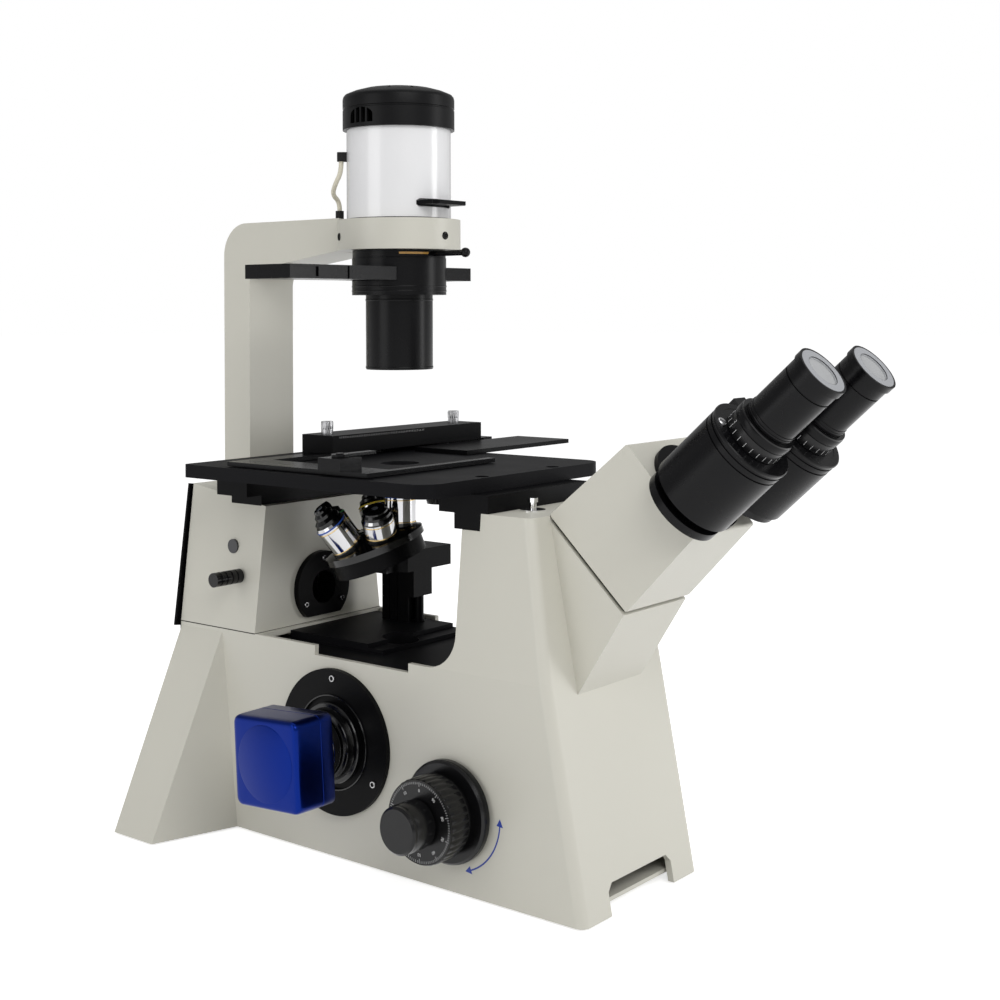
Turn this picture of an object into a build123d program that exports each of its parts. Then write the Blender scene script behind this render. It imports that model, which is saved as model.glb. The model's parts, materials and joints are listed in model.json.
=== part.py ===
from build123d import *
import os
from math import atan2, cos, degrees, hypot, pi, radians, sin, sqrt, tan

"""Inverted light microscope: one STEP file for each sub-part.

Millimetres, +Z up. The origin is the foot of the optical axis on the table,
the user sits at -Y, and -X is the side of the camera port.
"""

# General clearances
OVERRUN = 5.0
RUNNING = 0.05
SLIDING = 0.3

# Base casting
BODY_HALF = 70.0
BODY_WALL = 4.0
BODY_RIM_Z = 1.5
BODY_REAR_Y = 173.0
BODY_FRONT_Y = -221.0
BODY_CORNER = 7.0
SIDE_TOP_Z = 153.0
SIDE_LOW_Z = 146.0
SIDE_LEDGE_Z = 152.5
SIDE_LOW_REAR_Y = 22.0
SIDE_LOW_FRONT_Y = -70.5
TOWER_REAR_Y = -112.0
TOWER_SWEEP = 24.0
TOWER_FRONT_Y = -171.5
TOWER_TOP_Z = 261.0
TOWER_TOP_HALF = 59.0
SHOULDER_Z = 249.0
SHOULDER_Y = -128.0
NOTCH_HALF = 38.0
NOTCH_TOP_Z = 21.5
NOTCH_CHAMFER = 5.0
LEG_TOP_Z = 150.0
LEG_TOP_FRONT_Y = 124.0
LEG_SPREAD = 67.0
LEG_TOE_FRONT_Y = 127.5
LEG_ROOT_FRONT_Y = 107.5
LEG_REAR_Y = 172.0

# Base plate and feet
PLATE_Z = 6.0
PLATE_THICK = 3.0
FOOT_RADIUS = 12.0
FRONT_FOOT_INSET = 24.0
FRONT_FOOT_Y = -185.0
REAR_FOOT_INSET = 25.0
REAR_FOOT_Y = 150.0

# Deck between the tower and the rear housing
DECK_FRONT_Y = -92.0
DECK_REAR_Y = 83.0
DECK_Z = 145.0
DECK_THICK = 5.0
DECK_RIDGE_Z = 148.0
DECK_RIDGE_Y = -15.0
DECK_RAISED_Z = 151.0
DECK_RAISED_Y = 0.0
DECK_RAISED_LEFT = -36.0
DECK_RAISED_GAP = 8.0
DECK_LIGHT_RADIUS = 14.0

# Rear housing, its cover, the illumination flange and the filter slider
HOUSING_FRONT_Y = 87.0
HOUSING_TOP_Z = 249.5
HOUSING_RISE = 12.0
HOUSING_TOP_HALF = 58.0
HOUSING_WALL = 4.0
COVER_THICK = 4.0
COVER_INSET = 2.5
COVER_FOOT_Z = 12.0
EPI_Z = 180.0
EPI_RADIUS = 28.5
EPI_THICK = 5.0
EPI_BORE = 13.0
EPI_TUBE_RADIUS = 17.0
EPI_TUBE_LENGTH = 12.0
EPI_FLAT_Z = 158.0
EPI_REAR_TUBE_Y = 122.0
EPI_SCREW_CIRCLE = 23.0
SCREW_RADIUS = 2.4
SCREW_HEAD = 1.6
PLUG_Y = 119.0
PLUG_Z = 216.5
PLUG_RADIUS = 5.5
PLUG_PROUD = 1.5
SLIDER_Y = 108.0
SLIDER_Z = 195.0
SLIDER_ROD_RADIUS = 3.0
SLIDER_KNOB_RADIUS = 5.5
SLIDER_KNOB_GAP = 1.7
SLIDER_KNOB_LENGTH = 26.5
SLIDER_GROOVES = 4
SLIDER_GROOVE = 1.0
SLIDER_PLATE_HALF = 16.0
SLIDER_PLATE_THICK = 4.0
SLIDER_PLATE_FOOT_Z = 164.0

# Prism head on the slanted seam
SEAM_TOP_Y = -169.0
SEAM_TOP_Z = 259.5
SEAM_ANGLE = 43.6
SEAM_LENGTH = 85.6
WEDGE_HALF = 38.5
WEDGE_FOOT_Z = 143.0
SEAM_FLANGE = 2.6
SEAM_FLANGE_INSET = 3.0
HEAD_HALF = 38.0
HEAD_WALL = 5.0
HEAD_DEPTH = 83.5
HEAD_SETBACK = 10.2
HEAD_FACE = 76.0
HEAD_EDGE = 2.0
TUBE_ANGLE = 42.0
HUB_SHARE = 0.55
RELAY_BORE = 14.0
HEAD_PRISM = 34.0

# Binocular
IPD_REST = 70.0
ARM_REACH = 37.5
HUB_RADIUS = 34.0
HUB_THICK = 4.0
HUB_SHAFT_RADIUS = 7.0
HUB_SHAFT_END = 66.0
SWING_THICK = 5.7
SWING_HUB_RADIUS = 20.0
SWING_END_RADIUS = 27.0
SWING_NECK_RADIUS = 16.0
BARREL_RADIUS = 29.0
BARREL_BORE = 12.0
BARREL_END = 72.0
BARREL_GROOVE = 0.8
BARREL_GROOVE_WIDTH = 1.2
BARREL_GROOVE_PITCH = 4.5
CLAMP_WIDTH = 14.0
CLAMP_LENGTH = 13.0
CLAMP_RISE = 23.0
SLEEVE_RADIUS = 15.0
DIOPTER_RADIUS = 20.0
DIOPTER_LENGTH = 15.5
EYEPIECE_RADIUS = 17.0
EYEPIECE_END = 137.0
EYEPIECE_GROOVE_FROM_END = 14.0
EYE_RING_RADIUS = 18.0
EYE_RING_LENGTH = 5.0
EYE_BORE = 11.0
EYE_LENS_THICK = 4.0
FIELD_LENS_THICK = 5.0

# Light path inside the base
SPLITTER_Z = 86.0
SPLITTER_SIZE = 30.0
SPLITTER_POST = 6.0
MIRROR_Z = 30.0
MIRROR_LENGTH = 44.0
MIRROR_THICK = 4.0
MIRROR_HALF = 17.0
TUBE_LENS_SHARE = 0.4
TUBE_LENS_RADIUS = 20.0
TUBE_LENS_CELL = 16.0
TUBE_LENS_GLASS = 6.0
TUBE_POST_HALF = 8.0

# Light-path rod in the tower top
PATH_ROD_X = -24.0
PATH_ROD_Y = -146.0
PATH_ROD_RADIUS = 2.5
PATH_ROD_TOP_Z = 270.0
PATH_ROD_FOOT_Z = 236.0
PATH_ROD_HEAD = 3.6
PATH_ROD_HEAD_LENGTH = 3.0
PATH_DISH_RADIUS = 9.0
PATH_DISH_THICK = 1.0
PATH_BLADE_HALF = 12.0
PATH_BLADE_THICK = 2.0

# Side port, adapter and camera
PORT_RADIUS = 53.0
PORT_THICK = 4.0
PORT_BORE = 22.0
PORT_RECESS_RADIUS = 34.0
PORT_RECESS = 1.2
PORT_SCREW_CIRCLE = 46.5
PORT_SCREWS = 3
ADAPTER_RADIUS = 29.5
ADAPTER_LENGTH = 34.0
ADAPTER_WAIST_RADIUS = 26.5
ADAPTER_WAIST = 6.0
CAMERA_Y = -2.0
CAMERA_Z = 86.0
CAMERA_SIZE = 63.5
CAMERA_LENGTH = 36.0
CAMERA_ROLL = 6.0
CAMERA_CORNER = 5.0
CAMERA_SEAM_FROM_FACE = 8.0
CAMERA_SEAM = 0.8
CAMERA_DISH_RADIUS = 27.0
CAMERA_DISH = 0.8

# Focus drive
FOCUS_Y = -111.0
FOCUS_Z = 58.0
COARSE_SHAFT_RADIUS = 4.5
FINE_SHAFT_RADIUS = 2.5
BUSHING_RADIUS = 12.0
BUSHING_PROUD = 6.0
TENSION_GAP = 2.0
TENSION_RADIUS = 35.0
TENSION_THICK = 8.0
COARSE_RADIUS = 28.0
COARSE_THICK = 24.5
COARSE_DIAL_RADIUS = 25.0
COARSE_DIAL = 5.0
FINE_RADIUS = 16.0
FINE_THICK = 22.5
KNOB_EDGE = 1.5
GEAR_MODULE = 0.8
PINION_TEETH = 15
TOOTH_THICK_SHARE = 0.36
TOOTH_TIP_SHARE = 0.45
FOCUS_PINION_WIDTH = 14.0
RACK_THICK = 7.0
FOCUS_RACK_FOOT_Z = 32.0
FOCUS_LINK_Z = 97.0
FOCUS_LINK_THICK = 8.0
FOCUS_LINK_WIDTH = 8.0
PUSH_ROD_RADIUS = 3.5
PUSH_ROD_HOLE = 4.5

# Focus column and nosepiece carriage
COLUMN_WIDTH = 18.0
COLUMN_GAP = 10.0
COLUMN_FRONT_Y = 30.0
COLUMN_REAR_Y = 58.0
COLUMN_TOP_Z = 214.0
KEYWAY_WIDTH = 9.0
KEYWAY_DEPTH = 6.0
COLUMN_STRIP = 1.0
CARRIAGE_THICK = 7.7
CARRIAGE_FOOT_Z = 172.0
CARRIAGE_ARM_LEFT = -5.0
CARRIAGE_ARM_FRONT_Y = 2.0
CARRIAGE_ARM_FOOT_Z = 198.0
CARRIAGE_ARM_TOP_Z = 214.0
CARRIAGE_SIDE = 2.0
CARRIAGE_LIGHT_RADIUS = 11.0

# Objective turret
PARFOCAL = 45.0
TURRET_TILT = 20.0
TURRET_BEARING = 135.0
TURRET_SEAT_CIRCLE = 24.0
TURRET_SEATS = 5
TURRET_RADIUS = 39.0
TURRET_RIM_FOOT = 12.0
TURRET_CROWN_RADIUS = 9.0
TURRET_SEAT_RISE = 1.5
TURRET_BOSS_RADIUS = 12.6
TURRET_BOSS_DEPTH = 8.0
TURRET_BORE = 9.0
TURRET_PIVOT_RADIUS = 5.0
TURRET_HUB_RADIUS = 36.0
TURRET_HUB_THICK = 11.5
OBJECTIVE_BORE = 3.0
OBJECTIVE_BORE_FOOT = 8.0
OBJECTIVE_RADIUS = 12.0
WORKING_LENGTH = 36.0
LOW_LENGTH = 26.0
MEDIUM_LENGTH = 33.0
HIGH_LENGTH = 36.0
SCAN_LENGTH = 22.0
OBJECTIVE_STEP_SHARES = [
    [(1.0, 0.62), (0.88, 0.14), (0.66, 0.12), (0.48, 0.12)],
    [(1.0, 0.72), (0.86, 0.15), (0.66, 0.13)],
    [(1.0, 0.66), (0.86, 0.16), (0.52, 0.18)],
    [(1.0, 0.66), (0.84, 0.14), (0.6, 0.12), (0.42, 0.08)],
    [(1.0, 0.7), (0.9, 0.18), (0.78, 0.12)],
]

# Stage
STAGE_TOP_Z = 283.5
STAGE_THICK = 10.0
STAGE_HALF = 105.0
STAGE_FRONT_Y = -118.0
STAGE_REAR_Y = 128.0
STAGE_CORNER = 18.0
STAGE_REAR_CORNER = 4.0
STAGE_OPENING = 46.0
STAGE_RECESS = 50.0
INSERT_THICK = 3.0
INSERT_HOLE = 15.0
STAGE_HOLE = 2.2
STAGE_BIG_HOLE = 5.0
STAGE_SMALL_HOLE_SHARES = [(-0.94, 0.28), (-0.915, -0.114), (-0.935, -0.525), (-0.36, -0.436)]
STAGE_LARGE_HOLE_SHARES = [(-0.35, -0.94), (0.44, -0.94)]
REAR_BEAM_FRONT_Y = 92.0
REAR_BEAM_BACK_Y = 126.0
REAR_BEAM_STEP = 8.0
REAR_BEAM_PROUD = 15.0
FRONT_BEAM_STEP = 11.0
FRONT_BEAM_OVERHANG = 8.0
FRONT_BEAM_TOP_OVERHANG = 22.0
FRONT_BEAM_LIP = 6.0

# Mechanical stage
RAIL_THICK = 8.0
RAIL_HEIGHT = 8.0
RAIL_LENGTH = 100.0
RAIL_FOOT_Z = 274.5
STAGE_KNOB_Y = 62.0
CARRIER_FRONT_Y = 44.0
CARRIER_WIDTH = 29.0
CARRIER_FOOT_Z = 262.0
PINION_POCKET = 7.2
GUIDE_LEFT = -12.0
GUIDE_REACH = 67.0
GUIDE_FRONT_Y = 60.0
GUIDE_REAR_Y = 94.0
GUIDE_TOP_Z = 302.0
SLIDE_FOOT_Z = 284.1
SLIDE_THICK = 3.2
SLIDE_DEPTH = 17.0
SLIDE_REACH = 93.0
WING_INSET = 27.0
WING_REACH = 112.0
WING_FRONT_Y = -2.0
WING_REAR_Y = 54.0
X_RACK_LENGTH = 140.0
THUMB_RADIUS = 4.75
THUMB_HEIGHT = 10.0
THUMB_INSET = 14.0
THUMB_Y = 80.0
Y_SHAFT_RADIUS = 4.2
X_SHAFT_RADIUS = 2.4
Y_KNOB_RADIUS = 15.0
Y_KNOB_TOP_Z = 260.5
Y_KNOB_THICK = 12.0
X_KNOB_RADIUS = 12.0
X_KNOB_THICK = 12.0
Y_PINION_Z = 276.0
Y_PINION_WIDTH = 6.0
FRAME_LEFT = -98.0
FRAME_ARM_RIGHT = -68.0
FRAME_FRONT_Y = -58.0
FRAME_BAR_DEPTH = 7.0
FRAME_RIGHT = 44.0
HOLDER_X = -91.0
HOLDER_Y = -25.0
HOLDER_HALF = 11.0
HOLDER_HEIGHT = 9.0
HOLDER_PIN_RADIUS = 3.0
HOLDER_PIN_RISE = 1.0
FINGER_LENGTH = 34.0
FINGER_WIDTH = 7.0
FINGER_THICK = 2.0
FINGER_HUB = 6.0

# Pillar and arm
PILLAR_HALF = 24.2
PILLAR_FRONT_Y = 141.7
PILLAR_REAR_Y = 172.0
ARM_TOP_Z = 471.5
ARM_ROUND = 26.0
ARM_INNER_ROUND = 14.0
ARM_ROOT_Z = 432.5
ARM_NOSE_Y = 18.0
ARM_NOSE_Z = 449.7
RING_RADIUS = 47.0
RING_FOOT_Z = 446.0
RING_TOP_Z = 469.0
RING_BORE = 22.0
RING_SCREW_Z = 456.0
RING_SCREW_RADIUS = 3.0
RING_SCREW_TURN = -91

# Lamp house
LAMP_RADIUS = 39.8
LAMP_WALL = 3.0
LAMP_TOP_Z = 537.5
CAP_RADIUS = 42.7
CAP_SHOULDER_Z = 559.0
CAP_SHOULDER_RADIUS = 41.5
CAP_CROWN_RADIUS = 28.0
CAP_ROUND = 5.0
CAP_TOP_Z = 570.5
CAP_WALL = 3.0
CAP_GROOVE_Z = 552.5
CAP_GROOVE = 1.0
VENT_TURN = 180.0
VENT_HALF_ANGLE = 15.5
VENT_FOOT_Z = 541.0
VENT_TOP_Z = 551.5
VENT_BARS = 3
VENT_BAR = 1.6
TOP_SLOT_RADIUS = 20.0
TOP_SLOTS = 12
TOP_SLOT_WIDTH = 3.0
TOP_SLOT_LENGTH = 15.0
LENS_SHELF = 3.0
LENS_RADIUS = 26.0
LENS_THICK = 7.0
SOCKET_RADIUS = 9.0
SOCKET_FOOT_Z = 523.0
SOCKET_BAR_HALF = 5.0
SOCKET_BAR_THICK = 4.0
BULB_RADIUS = 6.0
BULB_LENGTH = 18.0
FILTER_Z = 479.0
FILTER_THICK = 3.0
FILTER_HALF = 19.0
FILTER_FRONT_Y = -54.0
FILTER_BACK_Y = 24.0
FILTER_HOLE = 15.0
FILTER_HANDLE = 4.0
FILTER_MOUTH = 1.6

# Lamp lead
LEAD_RADIUS = 1.8
GLAND_RADIUS = 3.2
UPPER_GLAND_X = -30.2
UPPER_GLAND_Y = 31.8
UPPER_GLAND_Z = 514.0
UPPER_GLAND_HEIGHT = 7.0
LOWER_GLAND_X = -17.5
LOWER_GLAND_Y = 46.0
LOWER_GLAND_HEIGHT = 6.0
LEAD_ROUTE = [
    (-30.2, 31.8, 506.0),
    (-31.0, 37.5, 497.0),
    (-27.0, 44.5, 489.5),
    (-17.5, 46.0, 484.5),
]
LEAD_BEND_SHARE = 0.45

# Condenser
CONDENSER_RADIUS = 36.0
CONDENSER_TOP_Z = 440.0
CONDENSER_FOOT_Z = 412.0
CONDENSER_BORE = 15.0
CONDENSER_NECK_RADIUS = 30.0
CONDENSER_TUBE_RADIUS = 25.6
CONDENSER_TUBE_WALL = 4.0
CONDENSER_TUBE_FOOT_Z = 355.5
CONDENSER_LENS_THICK = 9.0
CONDENSER_LIP = 3.0
APERTURE_RADIUS = 35.6
APERTURE_LEVER_RADIUS = 2.2
APERTURE_LEVER_END_Y = -66.0
APERTURE_BALL_RADIUS = 3.6
PHASE_HALF = 22.7
PHASE_LEFT = -136.6
PHASE_RIGHT = 58.4
PHASE_FOOT_Z = 423.0
PHASE_THICK = 10.0
PHASE_GROOVE_X = -79.0
PHASE_GROOVE = 2.0
PHASE_RECESS_LEFT = -132.4
PHASE_RECESS_RIGHT = -109.0
PHASE_RECESS = 1.5
PHASE_HOLE = 13.0
PHASE_HOLE_PITCH = 42.0
PHASE_GLASS = 3.0

SEATED = (Align.CENTER, Align.CENTER, Align.MIN)
UP = (0, 0, 1)
DOWN = (0, 0, -1)
RIGHT = (1, 0, 0)
LEFT = (-1, 0, 0)
BACK = (0, 1, 0)
FRONT = (0, -1, 0)


# Shape helpers
def block(x_span, y_span, z_span):
    """Box between the low and high limits on each axis."""
    spans = (x_span, y_span, z_span)
    size = [high - low for low, high in spans]
    centre = [(high + low) / 2 for low, high in spans]
    return Pos(*centre) * Box(*size)


def rod(start, direction, radius, length):
    """Cylinder that grows from a point along a direction."""
    return Plane(origin=start, z_dir=direction) * Cylinder(radius, length, align=SEATED)


def bore(start, direction, radius, length):
    """Cutting cylinder that overruns both ends of a wall."""
    axis = Vector(*direction).normalized()
    return rod(Vector(*start) - axis * OVERRUN, axis, radius, length + 2 * OVERRUN)


def stack(start, direction, steps):
    """Coaxial cylinders on top of each other, given as (radius, length)."""
    axis = Vector(*direction).normalized()
    place = Vector(*start)
    solid = rod(place, axis, *steps[0])
    place += axis * steps[0][1]
    for radius, length in steps[1:]:
        solid += rod(place, axis, radius, length)
        place += axis * length
    return solid


def face(points):
    """Flat face inside a closed polygon."""
    return make_face(Polyline(*points, close=True))


def corner(sketch, point):
    """The vertex of a flat sketch at a known corner."""
    return sketch.vertices().sort_by_distance((*point, 0))[0]


def along_x(sketch, half):
    """Side profile in (Y, Z), extruded to both sides of the middle plane."""
    return extrude(Plane.YZ * sketch, amount=half, both=True)


def along_y(sketch, front, rear):
    """End profile in (X, Z), extruded from the front place to the rear place."""
    plane = Plane(origin=(0, rear, 0), x_dir=RIGHT, z_dir=FRONT)
    return extrude(plane * sketch, amount=rear - front)


def mirrored(shape):
    """The same shape on the other side of the middle plane."""
    return mirror(shape, Plane.YZ)


def pinion(centre, direction, away, width, shaft_radius):
    """Spur pinion with straight-sided teeth; its first tooth points away from the rack."""
    pitch = GEAR_MODULE * PINION_TEETH / 2
    root = pitch - GEAR_MODULE
    tip = pitch + GEAR_MODULE * (1 - TOOTH_TIP_SHARE / 2)
    wide = pi * GEAR_MODULE * TOOTH_THICK_SHARE
    narrow = wide * TOOTH_TIP_SHARE
    tooth = face([(0, wide), (root, wide * (1 - TOOTH_TIP_SHARE / 2)), (tip, narrow / 2),
                  (tip, -narrow / 2), (root, -wide * (1 - TOOTH_TIP_SHARE / 2)), (0, -wide)])
    gear = Circle(root)
    for index in range(PINION_TEETH):
        gear += Rot(0, 0, index * 360 / PINION_TEETH) * tooth
    if shaft_radius:
        gear -= Circle(shaft_radius)
    return Plane(origin=centre, x_dir=away, z_dir=direction) * extrude(gear, amount=width)


def rack_profile(length, depth):
    """Toothed edge in (x, y): a tooth at the middle, teeth up from y = 0, bar below."""
    pitch = pi * GEAR_MODULE
    rise = GEAR_MODULE * (1 + TOOTH_TIP_SHARE)
    half_root = pitch * TOOTH_THICK_SHARE * (1 - TOOTH_TIP_SHARE / 2)
    half_tip = half_root * TOOTH_TIP_SHARE
    count = int(length / 2 / pitch)
    bar = face([(-length / 2, 0), (length / 2, 0), (length / 2, -depth), (-length / 2, -depth)])
    for index in range(-count + 1, count):
        middle = index * pitch
        bar += face([(middle - half_root, 0), (middle - half_tip, rise),
                     (middle + half_tip, rise), (middle + half_root, 0)])
    return bar


# Shared geometry
RACK_FACE = GEAR_MODULE * (PINION_TEETH / 2 + 1)
LEG_TOE_X = BODY_HALF + LEG_SPREAD
BUSHING_INNER = BODY_HALF - BODY_WALL - BUSHING_PROUD
TENSION_X = BODY_HALF + TENSION_GAP
COLUMN_RIGHT = BODY_HALF - COLUMN_GAP
COLUMN_LEFT = COLUMN_RIGHT - COLUMN_WIDTH
FOCUS_PINION_X = (COLUMN_LEFT + COLUMN_RIGHT - FOCUS_PINION_WIDTH) / 2


def front_y(height):
    """Y of the slanted front panel at a height."""
    share = (height - BODY_RIM_Z) / (TOWER_TOP_Z - BODY_RIM_Z)
    return BODY_FRONT_Y + share * (TOWER_FRONT_Y - BODY_FRONT_Y)


def side_half(height):
    """Half-width of the rear housing at a height."""
    share = (height - SIDE_TOP_Z) / (HOUSING_TOP_Z - SIDE_TOP_Z)
    return BODY_HALF + share * (HOUSING_TOP_HALF - BODY_HALF)


def housing_top(place_y):
    """Height of the sloping top of the rear housing at a Y place."""
    return HOUSING_TOP_Z + HOUSING_RISE * (place_y - HOUSING_FRONT_Y) / (BODY_REAR_Y - HOUSING_FRONT_Y)


def seam_point(down, out):
    """(Y, Z) of a point on the seam frame: down along the seam, out from it."""
    slope = radians(SEAM_ANGLE)
    return (SEAM_TOP_Y - down * cos(slope) - out * sin(slope),
            SEAM_TOP_Z - down * sin(slope) + out * cos(slope))


def head_corners():
    """Side outline of the prism head, from the top of the seam round to its foot."""
    tilt = radians(TUBE_ANGLE)
    top = seam_point(HEAD_SETBACK, HEAD_DEPTH)
    low = (top[0] - HEAD_FACE * sin(tilt), top[1] - HEAD_FACE * cos(tilt))
    return [seam_point(0, SEAM_FLANGE), top, low, seam_point(SEAM_LENGTH, SEAM_FLANGE)]


def eye_plane():
    """Plane on the head's front face: z runs up the hinge, y points up and back."""
    _, top, low, _ = head_corners()
    foot = [a + HUB_SHARE * (b - a) for a, b in zip(top, low)]
    tilt = radians(TUBE_ANGLE)
    return Plane(origin=(0, *foot), x_dir=RIGHT, z_dir=(0, -cos(tilt), sin(tilt)))


def tube_place(side):
    """(x, y) of an eyepiece tube in the hinge frame at rest."""
    half = IPD_REST / 2
    return side * half, -sqrt(ARM_REACH ** 2 - half ** 2)


def relay_point(share):
    """Point on the slanted light path from the lower mirror to the seam."""
    end_y, end_z = seam_point(SEAM_LENGTH / 2, 0)
    return 0, share * end_y, MIRROR_Z + share * (end_z - MIRROR_Z)


def relay_direction():
    """Direction of the slanted light path."""
    _, end_y, end_z = relay_point(1)
    return 0, end_y, end_z - MIRROR_Z


SEAT_Z = STAGE_TOP_Z - PARFOCAL


def turret_plane():
    """Seat plane of the turret: x points at the working seat, z up the tilted axis."""
    tilt = radians(TURRET_TILT)
    bearing = radians(TURRET_BEARING)
    lean = Vector(cos(bearing), sin(bearing), 0)
    axis = lean * sin(tilt) + Vector(*UP) * cos(tilt)
    reach = lean * -cos(tilt) + Vector(*UP) * sin(tilt)
    return Plane(origin=Vector(0, 0, SEAT_Z) - reach * TURRET_SEAT_CIRCLE, x_dir=reach, z_dir=axis)


def seat_plane(index):
    """Plane of one objective seat: z runs along that objective."""
    angle = radians(index * 360 / TURRET_SEATS)
    tilt = radians(TURRET_TILT)
    local = Plane(origin=(TURRET_SEAT_CIRCLE * cos(angle), TURRET_SEAT_CIRCLE * sin(angle), 0),
                  z_dir=(sin(tilt) * cos(angle), sin(tilt) * sin(angle), cos(tilt)))
    return turret_plane().location * local.location


# Base
def casting_block(inset, floor_z):
    """Body of the base, drawn in by a wall, down to a floor height."""
    shoulder_y = SHOULDER_Y - inset
    rear_y = TOWER_REAR_Y - inset
    step_y = SIDE_LOW_FRONT_Y - inset
    inner = (rear_y, SIDE_LEDGE_Z - inset)
    side = face([
        (BODY_FRONT_Y + inset, floor_z), (TOWER_FRONT_Y + inset, TOWER_TOP_Z - inset),
        (shoulder_y, TOWER_TOP_Z - inset), (shoulder_y, SHOULDER_Z - inset),
        (rear_y, SHOULDER_Z - inset), inner, (step_y, SIDE_LEDGE_Z - inset),
        (step_y, SIDE_LOW_Z - inset), (SIDE_LOW_REAR_Y + inset, SIDE_LOW_Z - inset),
        (SIDE_LOW_REAR_Y + inset, SIDE_TOP_Z - inset),
        (BODY_REAR_Y - inset, SIDE_TOP_Z - inset), (BODY_REAR_Y - inset, floor_z)])
    side = fillet(corner(side, inner), TOWER_SWEEP + inset)
    half = BODY_HALF - inset
    top = TOWER_TOP_HALF - inset
    ends = face([(-half, floor_z), (-half, SIDE_TOP_Z), (-top, TOWER_TOP_Z),
                 (top, TOWER_TOP_Z), (half, SIDE_TOP_Z), (half, floor_z)])
    return along_x(side, BODY_HALF) & along_y(ends, BODY_FRONT_Y, BODY_REAR_Y)


def rear_leg():
    """Wedge-shaped rear leg on the right side."""
    root_x = BODY_HALF - BODY_WALL / 2
    section = face([(root_x, BODY_RIM_Z), (LEG_TOE_X, BODY_RIM_Z), (BODY_HALF, LEG_TOP_Z),
                    (root_x, LEG_TOP_Z)])
    leg = along_y(section, LEG_ROOT_FRONT_Y - OVERRUN, LEG_REAR_Y)
    root = Vector(BODY_HALF, LEG_ROOT_FRONT_Y, BODY_RIM_Z)
    top = Vector(BODY_HALF, LEG_TOP_FRONT_Y, LEG_TOP_Z)
    toe = Vector(LEG_TOE_X, LEG_TOE_FRONT_Y, BODY_RIM_Z)
    slope = (top - root).cross(toe - root).normalized()
    if slope.Y > 0:
        slope = -slope
    size = 2 * LEG_TOP_Z
    leg -= Plane(origin=root, z_dir=slope) * Box(size, size, size, align=SEATED)
    pocket = rod((LEG_TOE_X - REAR_FOOT_INSET, REAR_FOOT_Y, BODY_RIM_Z - OVERRUN), UP, FOOT_RADIUS,
                 PLATE_Z - BODY_RIM_Z + OVERRUN)
    return leg - pocket


def base_casting():
    """One-piece painted body: base shell, tower, head wedge and rear legs."""
    shell = casting_block(0, BODY_RIM_Z)
    front_edges = [edge for edge in shell.edges()
                   if abs(edge.center().X) > TOWER_TOP_HALF / 2
                   and edge.center().Y < front_y(edge.center().Z) + SLIDING]
    shell = fillet(front_edges, BODY_CORNER)
    foot_y = front_y(WEDGE_FOOT_Z)
    wedge = face([seam_point(0, 0), seam_point(SEAM_LENGTH, 0), (foot_y, WEDGE_FOOT_Z),
                  (foot_y + BODY_WALL, WEDGE_FOOT_Z), (SEAM_TOP_Y + BODY_WALL, SEAM_TOP_Z)])
    shell -= casting_block(BODY_WALL, BODY_RIM_Z - OVERRUN)
    shell += along_x(wedge, WEDGE_HALF)
    seam_front = face([seam_point(0, 0), seam_point(0, SEAM_LENGTH), seam_point(SEAM_LENGTH, SEAM_LENGTH),
                       seam_point(SEAM_LENGTH, 0)])
    shell -= along_x(seam_front, WEDGE_HALF)
    inner_half = BODY_HALF - BODY_WALL
    shell -= block((-inner_half, inner_half), (DECK_FRONT_Y, DECK_REAR_Y),
                   (DECK_Z - DECK_THICK, SIDE_TOP_Z + OVERRUN))
    notch = face([(-NOTCH_HALF, BODY_RIM_Z - OVERRUN), (-NOTCH_HALF, NOTCH_TOP_Z - NOTCH_CHAMFER),
                  (-NOTCH_HALF + NOTCH_CHAMFER, NOTCH_TOP_Z), (NOTCH_HALF - NOTCH_CHAMFER, NOTCH_TOP_Z),
                  (NOTCH_HALF, NOTCH_TOP_Z - NOTCH_CHAMFER), (NOTCH_HALF, BODY_RIM_Z - OVERRUN)])
    shell -= along_y(notch, BODY_FRONT_Y - OVERRUN, BODY_FRONT_Y + BODY_WALL + OVERRUN)
    shell += [rear_leg(), mirrored(rear_leg())]
    shell -= bore((-BODY_HALF, 0, SPLITTER_Z), RIGHT, PORT_BORE, BODY_WALL)
    shell -= bore((-BODY_HALF, FOCUS_Y, FOCUS_Z), RIGHT, BUSHING_RADIUS, 2 * BODY_HALF)
    shell -= rod(relay_point(TUBE_LENS_SHARE), relay_direction(), RELAY_BORE, 2 * BODY_REAR_Y)
    shell -= bore((PATH_ROD_X, PATH_ROD_Y, TOWER_TOP_Z - BODY_WALL), UP,
                  PATH_ROD_RADIUS + RUNNING, BODY_WALL)
    return shell


def base_plate():
    """Flat steel plate that closes the base between its side walls."""
    half = BODY_HALF - BODY_WALL
    return block((-half, half), (front_y(PLATE_Z) + 2 * BODY_WALL, BODY_REAR_Y - BODY_WALL),
                 (PLATE_Z, PLATE_Z + PLATE_THICK))


def rubber_feet():
    """Four round feet, two under the plate and two under the legs."""
    places = [(BODY_HALF - FRONT_FOOT_INSET, FRONT_FOOT_Y), (LEG_TOE_X - REAR_FOOT_INSET, REAR_FOOT_Y)]
    feet = [rod((side * x, y, 0), UP, FOOT_RADIUS, PLATE_Z) for x, y in places for side in (-1, 1)]
    return Compound(children=feet)


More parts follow.
